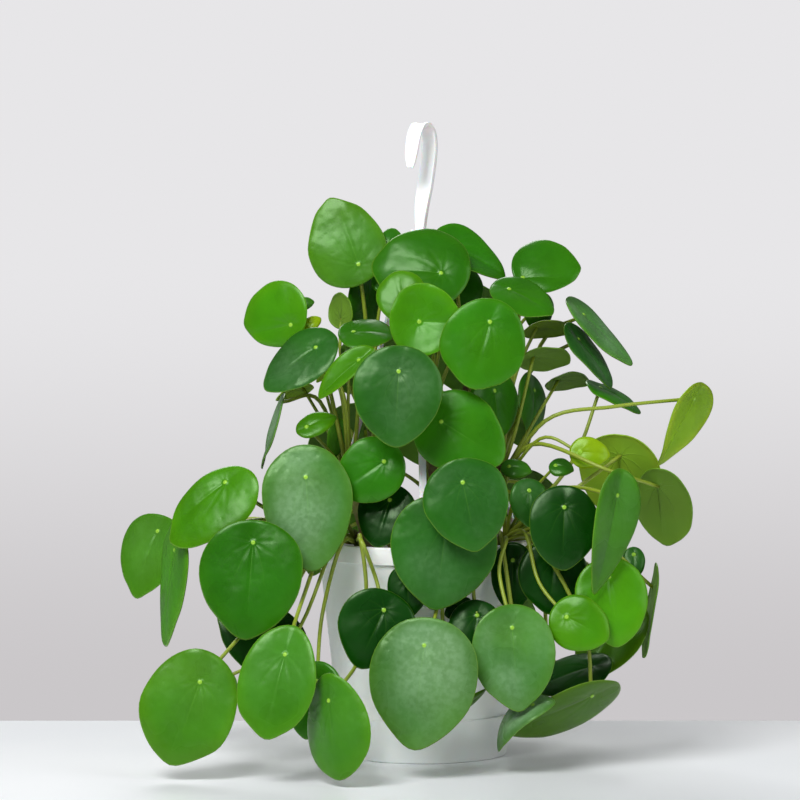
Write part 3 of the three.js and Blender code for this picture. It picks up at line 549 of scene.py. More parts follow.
@dataclass(frozen=True)
class StalkFinish(Finish):
    """Smooth juicy stalk, yellow-green with a slightly browner foot."""

    name: str = "stalk_green"
    young: Rgb = (134, 154, 40)
    old: Rgb = (122, 134, 42)
    roughness: float = 0.42

    def paint(self, s: Shader, place: bpy.types.NodeSocket) -> None:
        """Sets the colour, gloss and relief.

        Args:
            s: The material's shader.
            place: Object coordinates.
        """
        grown = s.attribute("along").outputs["Fac"]
        patch = s.speckle(place, 90.0)
        foot = s.sums("MULTIPLY", s.ramp(grown, 0.0, 0.55, 1.0, 0.0), 0.7)
        foot = s.sums("MULTIPLY_ADD", s.sums("SUBTRACT", patch, 0.5), 0.5, foot, clamp=True)
        colour = s.mix(foot, linear(self.young), linear(self.old))
        s.set(Base_Color=colour, Roughness=self.roughness)
        s.relief(s.speckle(place, 900.0), 0.0002)


@dataclass(frozen=True)
class RoughFinish(Finish):
    """Rough natural stuff in two colours, mixed by a noise, over a second noise as relief.

    mottle and relief hold the scale and the detail of the noises, share the range of the
    first one that goes from the first colour to the second, and bump the relief's height.
    """

    first: Rgb
    second: Rgb
    roughness: float
    mottle: tuple[float, float]
    share: tuple[float, float]
    relief: tuple[float, float]
    bump: float

    def paint(self, s: Shader, place: bpy.types.NodeSocket) -> None:
        """Sets the colour, gloss and relief.

        Args:
            s: The material's shader.
            place: Object coordinates.
        """
        mottle = s.ramp(s.speckle(place, *self.mottle), *self.share)
        s.set(Base_Color=s.mix(mottle, linear(self.first), linear(self.second)),
              Roughness=self.roughness)
        s.relief(s.speckle(place, *self.relief), self.bump)


@dataclass(frozen=True)
class PlasticFinish(Finish):
    """White moulded plastic with a faint satin texture."""

    colour: Rgb
    roughness: float
    softness: float
    cloud: Rgb = (188, 192, 190)

    def paint(self, s: Shader, place: bpy.types.NodeSocket) -> None:
        """Sets the colour, gloss, softness and relief.

        Args:
            s: The material's shader.
            place: Object coordinates.
        """
        shade = s.ramp(s.speckle(place, 22.0, 2.0), 0.3, 0.7, 0.0, 0.06)
        wear = s.sums("MULTIPLY_ADD", s.speckle(place, 160.0, 4.0), 0.12,
                      self.roughness - 0.06)
        s.set(Base_Color=s.mix(shade, linear(self.colour), linear(self.cloud)), Roughness=wear,
              Subsurface_Weight=self.softness, Subsurface_Scale=0.003)
        s.relief(s.speckle(place, 1400.0, 2.0), 0.00012, 0.5)


BARK = RoughFinish("stem_bark", (96, 104, 46), (92, 70, 44), 0.75, (140.0, 5.0),
                   (0.35, 0.65), (420.0, 5.0), 0.0008)
SOIL = RoughFinish("potting_soil", (34, 24, 17), (84, 62, 43), 0.95, (520.0, 6.0),
                   (0.42, 0.72), (380.0, 6.0), 0.0016)


# ---------------------------------------------------------------- plant


@dataclass(frozen=True)
class Stem:
    """One main stem, in millimetres: where it leaves the soil, its crown and its sway."""

    foot: tuple[float, float]
    crown: tuple[float, float, float]
    sway: tuple[float, float]
    soil_z: float = 142.0
    root_z: float = 118.0
    low_radius: float = 4.2
    top_radius: float = 3.2
    steps: int = 6
    collar_z: float = 130.0
    fine_steps: int = 42
    sides: int = 14
    scars: int = 9
    scar_height: float = 0.35
    # Height over the crown and part of the radius of each ring of the end bud.
    bud: tuple[tuple[float, float], ...] = ((1.5, 0.9), (3.0, 0.7), (4.6, 0.42), (5.8, 0.12))

    def point(self, u: float) -> Vector:
        """Axis of the stem, from 0 at the soil to 1 at the crown.

        Args:
            u: Place along the stem.

        Returns:
            The point in millimetres.
        """
        low = Vector((*self.foot, self.soil_z))
        aside = Vector((*self.sway, 0)) * math.sin(math.pi * u)
        return low.lerp(Vector(self.crown), u) + aside

    def body(self) -> bmesh.types.BMesh:
        """The stem's rod with its ring-shaped leaf scars and a blunt bud on top.

        Returns:
            The rod in metres.
        """
        points = [Vector((*self.foot, z)) for z in (self.root_z, self.collar_z)]
        radii = [self.low_radius * 0.8, self.low_radius]
        for k in range(self.fine_steps + 1):
            u = k / self.fine_steps
            points.append(self.point(u))
            swell = max(0.0, math.sin(u * self.scars * math.pi + self.foot[0])) ** 6
            radii.append(self.low_radius + (self.top_radius - self.low_radius) * u
                         + self.scar_height * swell)
        top = self.point(1.0)
        up = (top - self.point(0.95)).normalized()
        for lift, part in self.bud:
            points.append(top + up * lift)
            radii.append(self.top_radius * part)
        return rod([p * MM for p in points], [r * MM for r in radii], self.sides)


@dataclass(frozen=True)
class Leaf:
    """One leaf in millimetres and degrees.

    at is where the stalk meets the blade and size its length from notch to tip and its width.
    lean is the compass direction in the front view that the face is tipped to, tilt how far,
    and tip where the tip points in that view. joint is the stalk's place on the stem and via
    the points that the stalk bends through. fold raises both halves from the midrib, curl
    bends the tip, dome lowers the edge, seat and off shift the stalk's place on the blade,
    and taper widens the blade towards the notch.
    """

    name: str
    at: tuple[float, float, float]
    size: tuple[float, float]
    lean: float
    tilt: float
    tip: float
    tone: Tone
    joint: float
    via: tuple[tuple[float, float, float], ...]
    fold: float = 0.0
    curl: float = 0.0
    dome: float = 2.0
    seat: float = 0.27
    off: float = 0.0
    taper: float = 0.1

    def axes(self) -> tuple[Vector, Vector, Vector]:
        """Side, tip and face directions of the blade.

        Returns:
            The three unit vectors.
        """
        lean, tilt, tip = (math.radians(a) for a in (self.lean, self.tilt, self.tip))
        face = Vector((math.sin(tilt) * math.sin(lean), -math.cos(tilt),
                       math.sin(tilt) * math.cos(lean)))
        depth = -(math.sin(tip) * face.x + math.cos(tip) * face.z) / face.y
        to_tip = Vector((math.sin(tip), depth, math.cos(tip))).normalized()
        return to_tip.cross(face), to_tip, face

    def rim(self, angle: float) -> Vector:
        """Flat outline point at an angle from the tip, as aside and along."""
        length, width = self.size
        c = math.cos(angle)
        nib = 0.035 * max(0.0, c) ** 9
        return Vector(((width / 2) * math.sin(angle) * (1 - self.taper * c) - self.off,
                       length * (0.5 - self.seat + 0.5 * c + nib)))

    def lifted(self, flat: Vector, angle: float, u: float, phase: float) -> Vector:
        """Bends a flat point of the blade into its shape.

        Args:
            flat: Aside and along, from the stalk's end.
            angle: Angle from the tip.
            u: Place from 0 at the stalk to 1 at the edge.
            phase: Shift of the edge's wave.

        Returns:
            Aside, along and height in the blade's own axes.
        """
        length, width = self.size
        soft = 0.05 * width
        height = (math.hypot(flat.x, soft) - soft) * math.sin(math.radians(self.fold))
        bent = flat.y
        if self.curl:
            radius = length / math.radians(self.curl)
            bent = radius * math.sin(flat.y / radius)
            height -= radius * (1 - math.cos(flat.y / radius))
        middle = flat.y - length * (0.5 - self.seat)
        height -= self.dome * (((flat.x + self.off) / (width / 2)) ** 2
                               + (middle / (length / 2)) ** 2)
        height += 0.014 * width * math.sin(3 * angle + phase) * u * u
        return Vector((flat.x * math.cos(math.radians(self.fold)), bent, height))


@dataclass(frozen=True)
class BladeMaker:
    """Builds one blade as a fine disc of rings round the stalk's end."""

    sides: int = 48
    dot_rings: tuple[float, ...] = (0.8, 1.5, 2.2, 3.4, 5.2, 7.6)
    outer_rings: tuple[float, ...] = (0.18, 0.36, 0.54, 0.7, 0.83, 0.92, 0.975, 1.0)
    dimple: float = 0.7
    dimple_reach: float = 6.5
    dot_height: float = 1.0
    dot_reach: float = 1.5
    point: float = 0.02
    roll: float = 0.7
    crease: float = 0.8

    def build(self, leaf: Leaf, phase: float, draw: random.Random) -> bmesh.types.BMesh:
        """Makes the blade's middle surface.

        Args:
            leaf: The leaf.
            phase: Shift of the edge's wave.
            draw: Seeded random numbers for small irregularities.

        Returns:
            The disc, with its face, flat place, edge and tint attributes.
        """
        side, to_tip, face = leaf.axes()
        seat_height = leaf.lifted(Vector((0, 0)), 0, 0, phase).z
        waves = [(k, draw.uniform(0, 6.3), draw.uniform(0.3, 1.0) * s)
                 for k, s in ((2, 0.008), (3, 0.012), (5, 0.010), (8, 0.006), (13, 0.003))]
        ripples = [(k, draw.uniform(0, 6.3), draw.uniform(0.3, 1.0) * s * leaf.size[1])
                   for k, s in ((2, 0.012), (4, 0.009), (7, 0.006))]
        shade = draw.uniform(0.85, 1.15)
        warm = draw.uniform(0.92, 1.1)
        tint = linear(leaf.tone.colour)
        # The alpha carries the tone's share of painted sheen.
        colour = (tint[0] * shade * warm, tint[1] * shade, tint[2] * shade, leaf.tone.painted_sheen_share)
        narrow = min(leaf.rim(2 * math.pi * k / 24).length for k in range(24))
        squeeze = min(1.0, 0.7 * narrow / self.dot_rings[-1])
        fixed = len(self.dot_rings)

        def place(row: int, column: int) -> tuple[Vector, float, float, float]:
            """Point of a ring at a turn, its flat place and its share of the way out."""
            angle = 2 * math.pi * column / self.sides
            rim = leaf.rim(angle)
            rim *= 1 + sum(a * math.sin(k * angle + p) for k, p, a in waves)
            rim.y += self.point * leaf.size[0] * max(0.0, math.cos(angle)) ** 28
            reach = rim.length
            near = self.dot_rings[-1] * squeeze / reach
            if row == 0:
                u = 0.0
            elif row <= fixed:
                u = self.dot_rings[row - 1] * squeeze / reach
            else:
                u = near + (1 - near) * self.outer_rings[row - 1 - fixed]
            shape = leaf.lifted(rim * u, angle, u, phase)
            r = reach * u
            height = shape.z - seat_height
            height -= self.dimple * math.exp(-((r / self.dimple_reach) ** 2))
            height += self.dot_height * math.exp(-((r / (self.dot_reach * squeeze)) ** 2))
            height -= self.roll * max(0.0, (u - 0.88) / 0.12) ** 2
            height += self.crease * (1 - math.exp(-abs(shape.x) / 5))
            height += sum(a * math.sin(k * angle + p) for k, p, a in ripples) * u ** 3
            point = Vector(leaf.at) + side * shape.x + to_tip * shape.y + face * height
            return point * MM, rim.x * u, rim.y * u, u

        rows = fixed + len(self.outer_rings)
        bm = wrapped_sheet(rows, self.sides, place, Pole.OPEN, ("aside", "along", "edge"))
        bm.normal_update()
        if sum(f.normal.dot(face) * f.calc_area() for f in bm.faces) < 0:
            bmesh.ops.reverse_faces(bm, faces=bm.faces)
        layer = bm.verts.layers.float_color.new("tint")
        for vert in bm.verts:
            vert[layer] = colour
        return bm


STEMS: dict[str, Stem] = {
    "top_left": Stem((-20, 0), (-38, -8, 266), (-4, 4)),
    "top_centre": Stem((2, 10), (-8, -6, 276), (4, 4)),
    "top_right": Stem((22, 8), (32, -4, 262), (-4, 2)),
    "left": Stem((-36, -12), (-52, -24, 208), (-2, 2)),
    "right": Stem((38, -10), (53, -20, 208), (2, 2)),
    "centre": Stem((12, -30), (10, -42, 178), (2, 2)),
    "front_low": Stem((-12, -50), (-12, -54, 156), (0, 0)),
    "low_left": Stem((-42, -34), (-46, -38, 155), (0, 0)),
    "low_right": Stem((46, -16), (58, -17, 155), (0, 0)),
    "back_left": Stem((-34, 32), (-46, 46, 192), (2, 0)),
    "back_right": Stem((34, 32), (48, 46, 198), (-2, 0)),
    "back_top": Stem((2, 36), (4, 44, 264), (4, 4)),
    "back_low": Stem((0, 56), (-4, 58, 156), (0, 0)),
}

LEAVES: dict[str, tuple[Leaf, ...]] = {
    "top_left": (
        Leaf("crown_left_big", (-45, -13, 343), (63, 53), 330, 12, 341,
             Tone.FRESH, joint=0.98, via=((-40, -4, 303),), seat=0.22, off=4, taper=0.22),
        Leaf("crown_dark_bit", (-27, -8, 329), (24, 20), 0, 30, 20,
             Tone.MID, joint=0.88, via=((-32, -3, 300),)),
        Leaf("left_flat", (-48, -50, 297), (38, 38), 0, 60, 92,
             Tone.MID, joint=0.58, via=((-36, -21, 248),)),
        Leaf("left_dark_upright", (-41, 5, 309), (46, 36), 90, 52, 5,
             Tone.MID, joint=0.78, via=((-46, 13, 287),)),
        Leaf("left_olive_upright", (-57, -14, 305), (24, 30), 90, 125, 5,
             Tone.OLIVE, joint=0.68, via=((-56, -18, 272),)),
    ),
    "top_centre": (
        Leaf("crown_centre", (12, -42, 337), (66, 62), 0, 30, 276,
             Tone.MID, joint=0.85, via=((5, -11, 297),), curl=20, seat=0.3, off=-4),
        Leaf("crown_back_tip", (-26, -10, 350), (27, 24), 330, 30, 14,
             Tone.MID, joint=0.98, via=((-15, -11, 324),)),
        Leaf("crown_front", (-3, -62, 304), (48, 50), 330, 8, 90,
             Tone.BRIGHT, joint=0.58, via=((7, -25, 280),), dome=-2, seat=0.42, off=1),
        Leaf("crown_front_lobe", (-13, -54, 313), (36, 34), 330, 20, 345,
             Tone.BRIGHT, joint=0.71, via=((-20, -34, 302),), taper=-0.15),
    ),
    "top_right": (
        Leaf("crown_right_top", (20, -18, 356), (56, 40), 35, 48, 119,
             Tone.MID, joint=0.98, via=((25, -16, 312),), fold=15, taper=0.3),
        Leaf("crown_right_back", (22, 1, 334), (44, 40), 20, 20, 180,
             Tone.MID, joint=0.78, via=((35, 16, 293),)),
        Leaf("centre_right_big", (45, -70, 304), (60, 58), 0, 8, 197,
             Tone.MID, joint=0.58, via=((35, -14, 264),), taper=-0.1),
    ),
    "left": (
        Leaf("left_high", (-92, -20, 301), (50, 46), 280, 30, 254,
             Tone.BRIGHT, joint=0.94, via=((-71, -23, 277),), seat=0.29, off=-10),
        Leaf("left_high_small", (-88, -6, 315), (15, 10), 330, 20, 78,
             Tone.DARK, joint=0.98, via=((-56, 25, 248),)),
        Leaf("left_dark", (-74, -44, 286), (58, 44), 325, 42, 232,
             Tone.BLUE, joint=0.82, via=((-57, -29, 255),)),
        Leaf("left_olive_tip", (-80, -18, 301), (14, 10), 0, 30, 55,
             Tone.LIME, joint=0.9, via=((-63, 1, 235),)),
        Leaf("left_olive_low", (-84, -6, 257), (26, 22), 340, 115, 250,
             Tone.LIME, joint=0.7, via=((-64, -11, 222),)),
        Leaf("left_sliver", (-98, -30, 248), (52, 42), 287, 84, 197,
             Tone.GREY, joint=0.66, via=((-72, -5, 247),), dome=0, seat=0.12),
        Leaf("left_small_low", (-80, -55, 232), (28, 19), 350, 40, 68,
             Tone.BRIGHT, joint=0.62, via=((-61, -36, 209),)),
        Leaf("left_folded", (-44, -71, 278), (48, 24), 318, 40, 228,
             Tone.BRIGHT, joint=0.78, via=((-45, -35, 244),), fold=30),
        Leaf("left_olive_small", (-61, -45, 272), (20, 18), 330, 110, 240,
             Tone.LIME, joint=0.74, via=((-53, -35, 243),)),
        Leaf("left_crumpled", (-51, -35, 288), (13, 12), 330, 40, 200,
             Tone.OLIVE, joint=0.86, via=((-52, -25, 244),)),
        Leaf("left_inner_small", (-58, -20, 229), (26, 18), 90, 40, 190,
             Tone.FRESH, joint=0.58, via=((-62, -10, 207),)),
    ),
    "right": (
        Leaf("right_top", (69, -20, 334), (46, 44), 0, 35, 92,
             Tone.MID, joint=0.98, via=((64, -14, 280),), seat=0.17, off=10),
        Leaf("right_upper", (59, -38, 326), (46, 38), 15, 52, 118,
             Tone.MID, joint=0.95, via=((56, -17, 275),)),
        Leaf("right_upper_back", (82, 6, 317), (26, 26), 90, 30, 185,
             Tone.DARK, joint=0.91, via=((58, 14, 280),)),
        Leaf("right_small_under", (79, -6, 299), (32, 30), 350, 115, 95,
             Tone.LIME, joint=0.85, via=((63, -15, 261),)),
        Leaf("outer_upper", (112, -10, 308), (62, 40), 46, 68, 136,
             Tone.GREY, joint=0.88, via=((83, 16, 286),), dome=1),
        Leaf("outer_mid", (108, -19, 291), (52, 38), 53, 66, 144,
             Tone.BLUE, joint=0.81, via=((75, 25, 265),), dome=1),
        Leaf("outer_under", (76, -27, 279), (36, 34), 350, 120, 95,
             Tone.OLIVE, joint=0.78, via=((63, -29, 225),)),
        Leaf("outer_low_under", (95, 4, 262), (31, 30), 350, 115, 95,
             Tone.OLIVE, joint=0.75, via=((77, -22, 234),)),
        Leaf("outer_far", (188, -25, 250), (62, 44), 118, 55, 208,
             Tone.LIME, joint=0.65,
             via=((84, -37, 235), (132, -37, 245),), fold=10, dome=0, seat=0.2, taper=0.45),
        Leaf("right_edge_dark", (78, 1, 255), (44, 38), 80, 60, 186,
             Tone.DARK, joint=0.68, via=((52, -4, 222),)),
        Leaf("right_inner", (49, -38, 256), (46, 44), 90, 40, 175,
             Tone.MID, joint=0.71, via=((46, -24, 225),)),
        Leaf("right_small_lime", (107, -60, 215), (26, 22), 0, 15, 95,
             Tone.LIME, joint=0.61, via=((80, -44, 223),)),
        Leaf("right_far_olive", (161, -52, 191), (65, 41), 30, 140, 172,
             Tone.OLIVE, joint=0.58, via=((75, -39, 219), (124, -78, 204),), off=-3, taper=-0.05),
    ),
    "low_right": (
        Leaf("outer_flat", (124, -10, 257), (42, 36), 28, 76, 119,
             Tone.MID, joint=0.98, via=((103, -20, 205),)),
        Leaf("front_grey_right", (59, -112, 100), (68, 56), 20, 10, 176,
             Tone.GREY, joint=0.71, via=((56, -78, 156), (51, -88, 135),), seat=0.23),
        Leaf("right_dark", (95, -86, 179), (55, 47), 0, 10, 182,
             Tone.DEEP_SHADE, joint=0.86, via=((76, -27, 167),)),
        Leaf("right_far_lime", (136, -35, 211), (64, 58), 30, 150, 180,
             Tone.LIME, joint=0.96, via=((96, -41, 182),)),
        Leaf("right_twisted", (130, -100, 188), (82, 38), 100, 38, 192,
             Tone.FRESH, joint=0.88, via=((94, -56, 189),), fold=15, seat=0.22, taper=0.4),
        Leaf("right_bright", (125, -90, 132), (58, 49), 20, 12, 172,
             Tone.BRIGHT, joint=0.77, via=((74, -41, 155), (109, -49, 139),), seat=0.23),
        Leaf("right_bright_small", (96, -100, 106), (41, 37), 340, 15, 118,
             Tone.BRIGHT, joint=0.73, via=((69, -62, 160), (78, -82, 128),)),
        Leaf("right_black", (89, -69, 142), (48, 47), 0, 12, 185,
             Tone.DEEP_SHADE, joint=0.84, via=((72, -43, 156), (84, -46, 159),)),
        Leaf("right_black_left", (61, -63, 141), (46, 30), 330, 15, 180,
             Tone.DEEP_SHADE, joint=0.8, via=((79, -34, 157), (73, -39, 149),)),
        Leaf("right_sliver", (159, -38, 120), (64, 40), 98, 93, 188,
             Tone.GREY, joint=0.75, via=((116, -40, 154),), dome=0),
        Leaf("right_low_lime", (137, -40, 98), (66, 46), 330, 40, 215,
             Tone.OLIVE, joint=0.69, via=((76, -22, 156), (112, -14, 132), (130, -20, 108),)),
        Leaf("right_low_olive", (114, -88, 51), (80, 46), 150, 50, 249,
             Tone.OLIVE, joint=0.65, via=((77, -66, 154), (108, -84, 99),), off=6),
        Leaf("right_low_curled", (73, -112, 48), (54, 26), 335, 60, 245,
             Tone.GREY, joint=0.63, via=((53, -68, 156), (62, -86, 90), (64, -98, 44),), curl=80),
        Leaf("right_low_dark", (114, -64, 68), (56, 42), 340, 60, 250,
             Tone.DEEP_SHADE, joint=0.67, via=((81, -30, 156), (86, -34, 84), (99, -54, 58),)),
        Leaf("right_small_dark", (146, -30, 142), (22, 15), 0, 20, 180,
             Tone.BLUE, joint=0.81, via=((80, -21, 156), (114, -7, 160),)),
        Leaf("right_young_a", (59, -40, 204), (20, 16), 0, 40, 100,
             Tone.DARK, joint=0.92, via=((56, -27, 183),)),
        Leaf("right_young_b", (91, -45, 205), (16, 15), 0, 40, 100,
             Tone.DARK, joint=0.94, via=((72, -28, 181),)),
        Leaf("right_blue", (72, -66, 189), (32, 26), 30, 20, 180,
             Tone.BLUE, joint=0.9, via=((63, -39, 181),)),
    ),
    "centre": (
        Leaf("centre_dark_big", (-17, -88, 271), (66, 60), 0, 8, 183,
             Tone.BLUE, joint=0.98, via=((-8, -48, 234),)),
        Leaf("centre_mid", (12, -66, 236), (64, 56), 0, 12, 122,
             Tone.MID, joint=0.9, via=((11, -57, 214),)),
        Leaf("centre_small", (-27, -70, 209), (48, 44), 330, 12, 236,
             Tone.MID, joint=0.82, via=((-2, -46, 191),)),
        Leaf("centre_right_low", (26, -104, 197), (60, 57), 0, 8, 168,
             Tone.BLUE, joint=0.74, via=((25, -75, 193),)),
        Leaf("centre_low_big", (15, -91, 168), (74, 72), 0, 8, 187,
             Tone.BLUE, joint=0.58, via=((14, -59, 167),)),
        Leaf("centre_black", (-23, -60, 182), (43, 40), 330, 20, 198,
             Tone.DEEP_SHADE, joint=0.66, via=((-6, -45, 175),)),
    ),
    "low_left": (
        Leaf("far_left_back", (-186, -2, 156), (58, 52), 300, 35, 200,
             Tone.FRESH, joint=0.89, via=((-118, -4, 165),), seat=0.2, taper=0.3),
        Leaf("far_left_fold", (-171, -52, 147), (86, 54), 276, 68, 187,
             Tone.FRESH, joint=0.85, via=((-112, -52, 168),), taper=0.15),
        Leaf("left_bright", (-135, -72, 195), (70, 47), 320, 30, 231,
             Tone.BRIGHT, joint=0.95, via=((-96, -60, 170),), off=9),
        Leaf("left_front", (-115, -97, 156), (77, 70), 330, 12, 184,
             Tone.MID, joint=0.92, via=((-90, -50, 158),), seat=0.2),
        Leaf("left_grey", (-80, -80, 199), (82, 61), 0, 8, 176,
             Tone.GREY, joint=0.98, via=((-64, -48, 186),)),
        Leaf("low_left_end", (-149, -132, 66), (75, 65), 320, 12, 199,
             Tone.FRESH, joint=0.72,
             via=((-80, -62, 153), (-107, -77, 112),), seat=0.28, off=-2, taper=-0.05),
        Leaf("low_left_mid", (-92, -146, 86), (73, 54), 320, 20, 194,
             Tone.FRESH, joint=0.79, via=((-66, -51, 155), (-82, -99, 117),), fold=12, taper=-0.1),
        Leaf("low_left_dark", (-97, -72, 81), (64, 48), 0, 15, 300,
             Tone.DEEP_SHADE, joint=0.76, via=((-67, -52, 156), (-99, -57, 99),)),
        Leaf("low_left_blue", (-138, -104, 63), (34, 28), 300, 20, 190,
             Tone.GREY, joint=0.66, via=((-61, -66, 152), (-89, -88, 90),)),
        Leaf("low_left_inner", (-72, -112, 64), (50, 40), 300, 25, 192,
             Tone.MID, joint=0.69, via=((-56, -76, 153), (-69, -73, 105),)),
        Leaf("low_left_folded", (-63, -158, 57), (67, 54), 275, 38, 174,
             Tone.FRESH, joint=0.63,
             via=((-43, -80, 158), (-39, -80, 122), (-43, -84, 78),), fold=-15, taper=-0.25),
        Leaf("front_dark", (-27, -94, 110), (53, 52), 0, 8, 205,
             Tone.DEEP_SHADE, joint=0.82, via=((-42, -100, 157), (-33, -83, 132),), seat=0.25),
    ),
    "front_low": (
        Leaf("front_grey_big", (0, -128, 90), (84, 72), 330, 10, 187,
             Tone.GREY, joint=0.72,
             via=((4, -66, 156), (11, -79, 156), (9, -89, 112),), seat=0.225, off=2),
        Leaf("front_behind", (36, -90, 106), (42, 36), 0, 25, 190,
             Tone.DEEP_SHADE, joint=0.81, via=((29, -80, 159), (34, -80, 118),)),
        Leaf("front_tiny", (29, -78, 111), (20, 16), 0, 20, 250,
             Tone.DEEP_SHADE, joint=0.89, via=((17, -75, 155), (27, -74, 118),)),
        Leaf("front_small_tip", (15, -108, 41), (40, 20), 150, 60, 62,
             Tone.OLIVE, joint=0.63, via=((9, -78, 154), (13, -84, 96),)),
        Leaf("front_behind_left", (-11, -85, 131), (34, 28), 330, 10, 178,
             Tone.DEEP_SHADE, joint=0.98, via=((-9, -74, 156), (-11, -77.5, 141),)),
    ),
    "back_low": (
        Leaf("back_low_a", (-38, 105, 84), (66, 58), 317, 152, 177,
             Tone.MID, joint=0.63, via=((-17, 82, 156), (-21, 71, 111),), dome=2.5),
        Leaf("back_low_b", (16, 117, 92), (72, 64), 27, 163, 186,
             Tone.MID, joint=0.72, via=((11, 85, 156), (11, 83, 125),), dome=2.5),
        Leaf("back_low_c", (58, 89, 98), (60, 52), 49, 139, 154,
             Tone.MID, joint=0.81, via=((42, 70, 156), (50, 80, 130), (52, 79, 110),), dome=2.5),
        Leaf("back_low_d", (-112, 64, 104), (64, 56), 308, 131, 207,
             Tone.MID, joint=0.89, via=((-47, 69, 156), (-84, 56, 126),), dome=2.5),
        Leaf("back_mid_c", (-18, 102, 152), (58, 52), 337, 156, 178,
             Tone.MID, joint=0.98, via=((-10, 77, 161),), dome=2.5),
    ),
    "back_right": (
        Leaf("back_low_e", (91, 66, 118), (58, 50), 54, 121, 152,
             Tone.MID, joint=0.58, via=((64, 56, 156), (78, 61, 125),), dome=2.5),
        Leaf("back_mid_d", (27, 109, 162), (70, 62), 26, 151, 180,
             Tone.MID, joint=0.66, via=((32, 78, 178),), dome=2.5),
        Leaf("back_mid_e", (70, 90, 176), (64, 58), 47, 133, 153,
             Tone.MID, joint=0.74, via=((50, 60, 182),), dome=2.5),
        Leaf("back_mid_f", (85, 45, 186), (54, 48), 53, 113, 152,
             Tone.MID, joint=0.82, via=((61, 44, 188),), dome=2.5),
        Leaf("back_high_d", (34, 85, 226), (62, 56), 33, 143, 176,
             Tone.MID, joint=0.9, via=((39, 61, 207),), dome=2.5),
        Leaf("back_high_e", (53, 51, 244), (52, 46), 41, 122, 145,
             Tone.MID, joint=0.98, via=((47, 45, 225),), dome=2.5),
    ),
    "back_left": (
        Leaf("back_mid_a", (-83, 56, 168), (70, 62), 307, 118, 203,
             Tone.MID, joint=0.71, via=((-63, 49, 173),), dome=2.5),
        Leaf("back_mid_b", (-63, 93, 160), (62, 54), 309, 139, 204,
             Tone.MID, joint=0.58, via=((-50, 64, 165),), dome=2.5),
        Leaf("back_high_a", (-58, 52, 232), (60, 54), 314, 123, 204,
             Tone.FRESH, joint=0.98, via=((-49, 46, 218),), dome=2.5),
        Leaf("back_high_b", (-41, 87, 222), (66, 60), 322, 143, 200,
             Tone.MID, joint=0.85, via=((-41, 69, 211),), dome=2.5),
    ),
    "back_top": (
        Leaf("back_high_c", (-3, 100, 240), (64, 56), 356, 154, 172,
             Tone.MID, joint=0.58, via=((2, 75, 231),), dome=2.5),
        Leaf("back_upper_a", (-34, 49, 286), (58, 52), 326, 129, 211,
             Tone.MID, joint=0.71, via=((-8, 43, 254),), dome=2.5),
        Leaf("back_upper_b", (-10, 73, 290), (60, 54), 348, 145, 176,
             Tone.MID, joint=0.78, via=((-4, 57, 270),), dome=2.5),
        Leaf("back_upper_c", (25, 61, 284), (56, 50), 26, 137, 173,
             Tone.MID, joint=0.65, via=((13, 51, 255),), dome=2.5),
        Leaf("back_crown_a", (-31, 34, 328), (50, 46), 335, 115, 216,
             Tone.MID, joint=0.91, via=((-7, 32, 293),), dome=2.5),
        Leaf("back_crown_b", (0, 44, 336), (54, 48), 0, 130, 189,
             Tone.MID, joint=0.98, via=((2, 40, 308),), dome=2.5),
        Leaf("back_crown_c", (32, 41, 326), (48, 44), 26, 119, 136,
             Tone.MID, joint=0.85, via=((12, 39, 281),), dome=2.5),
    ),
}


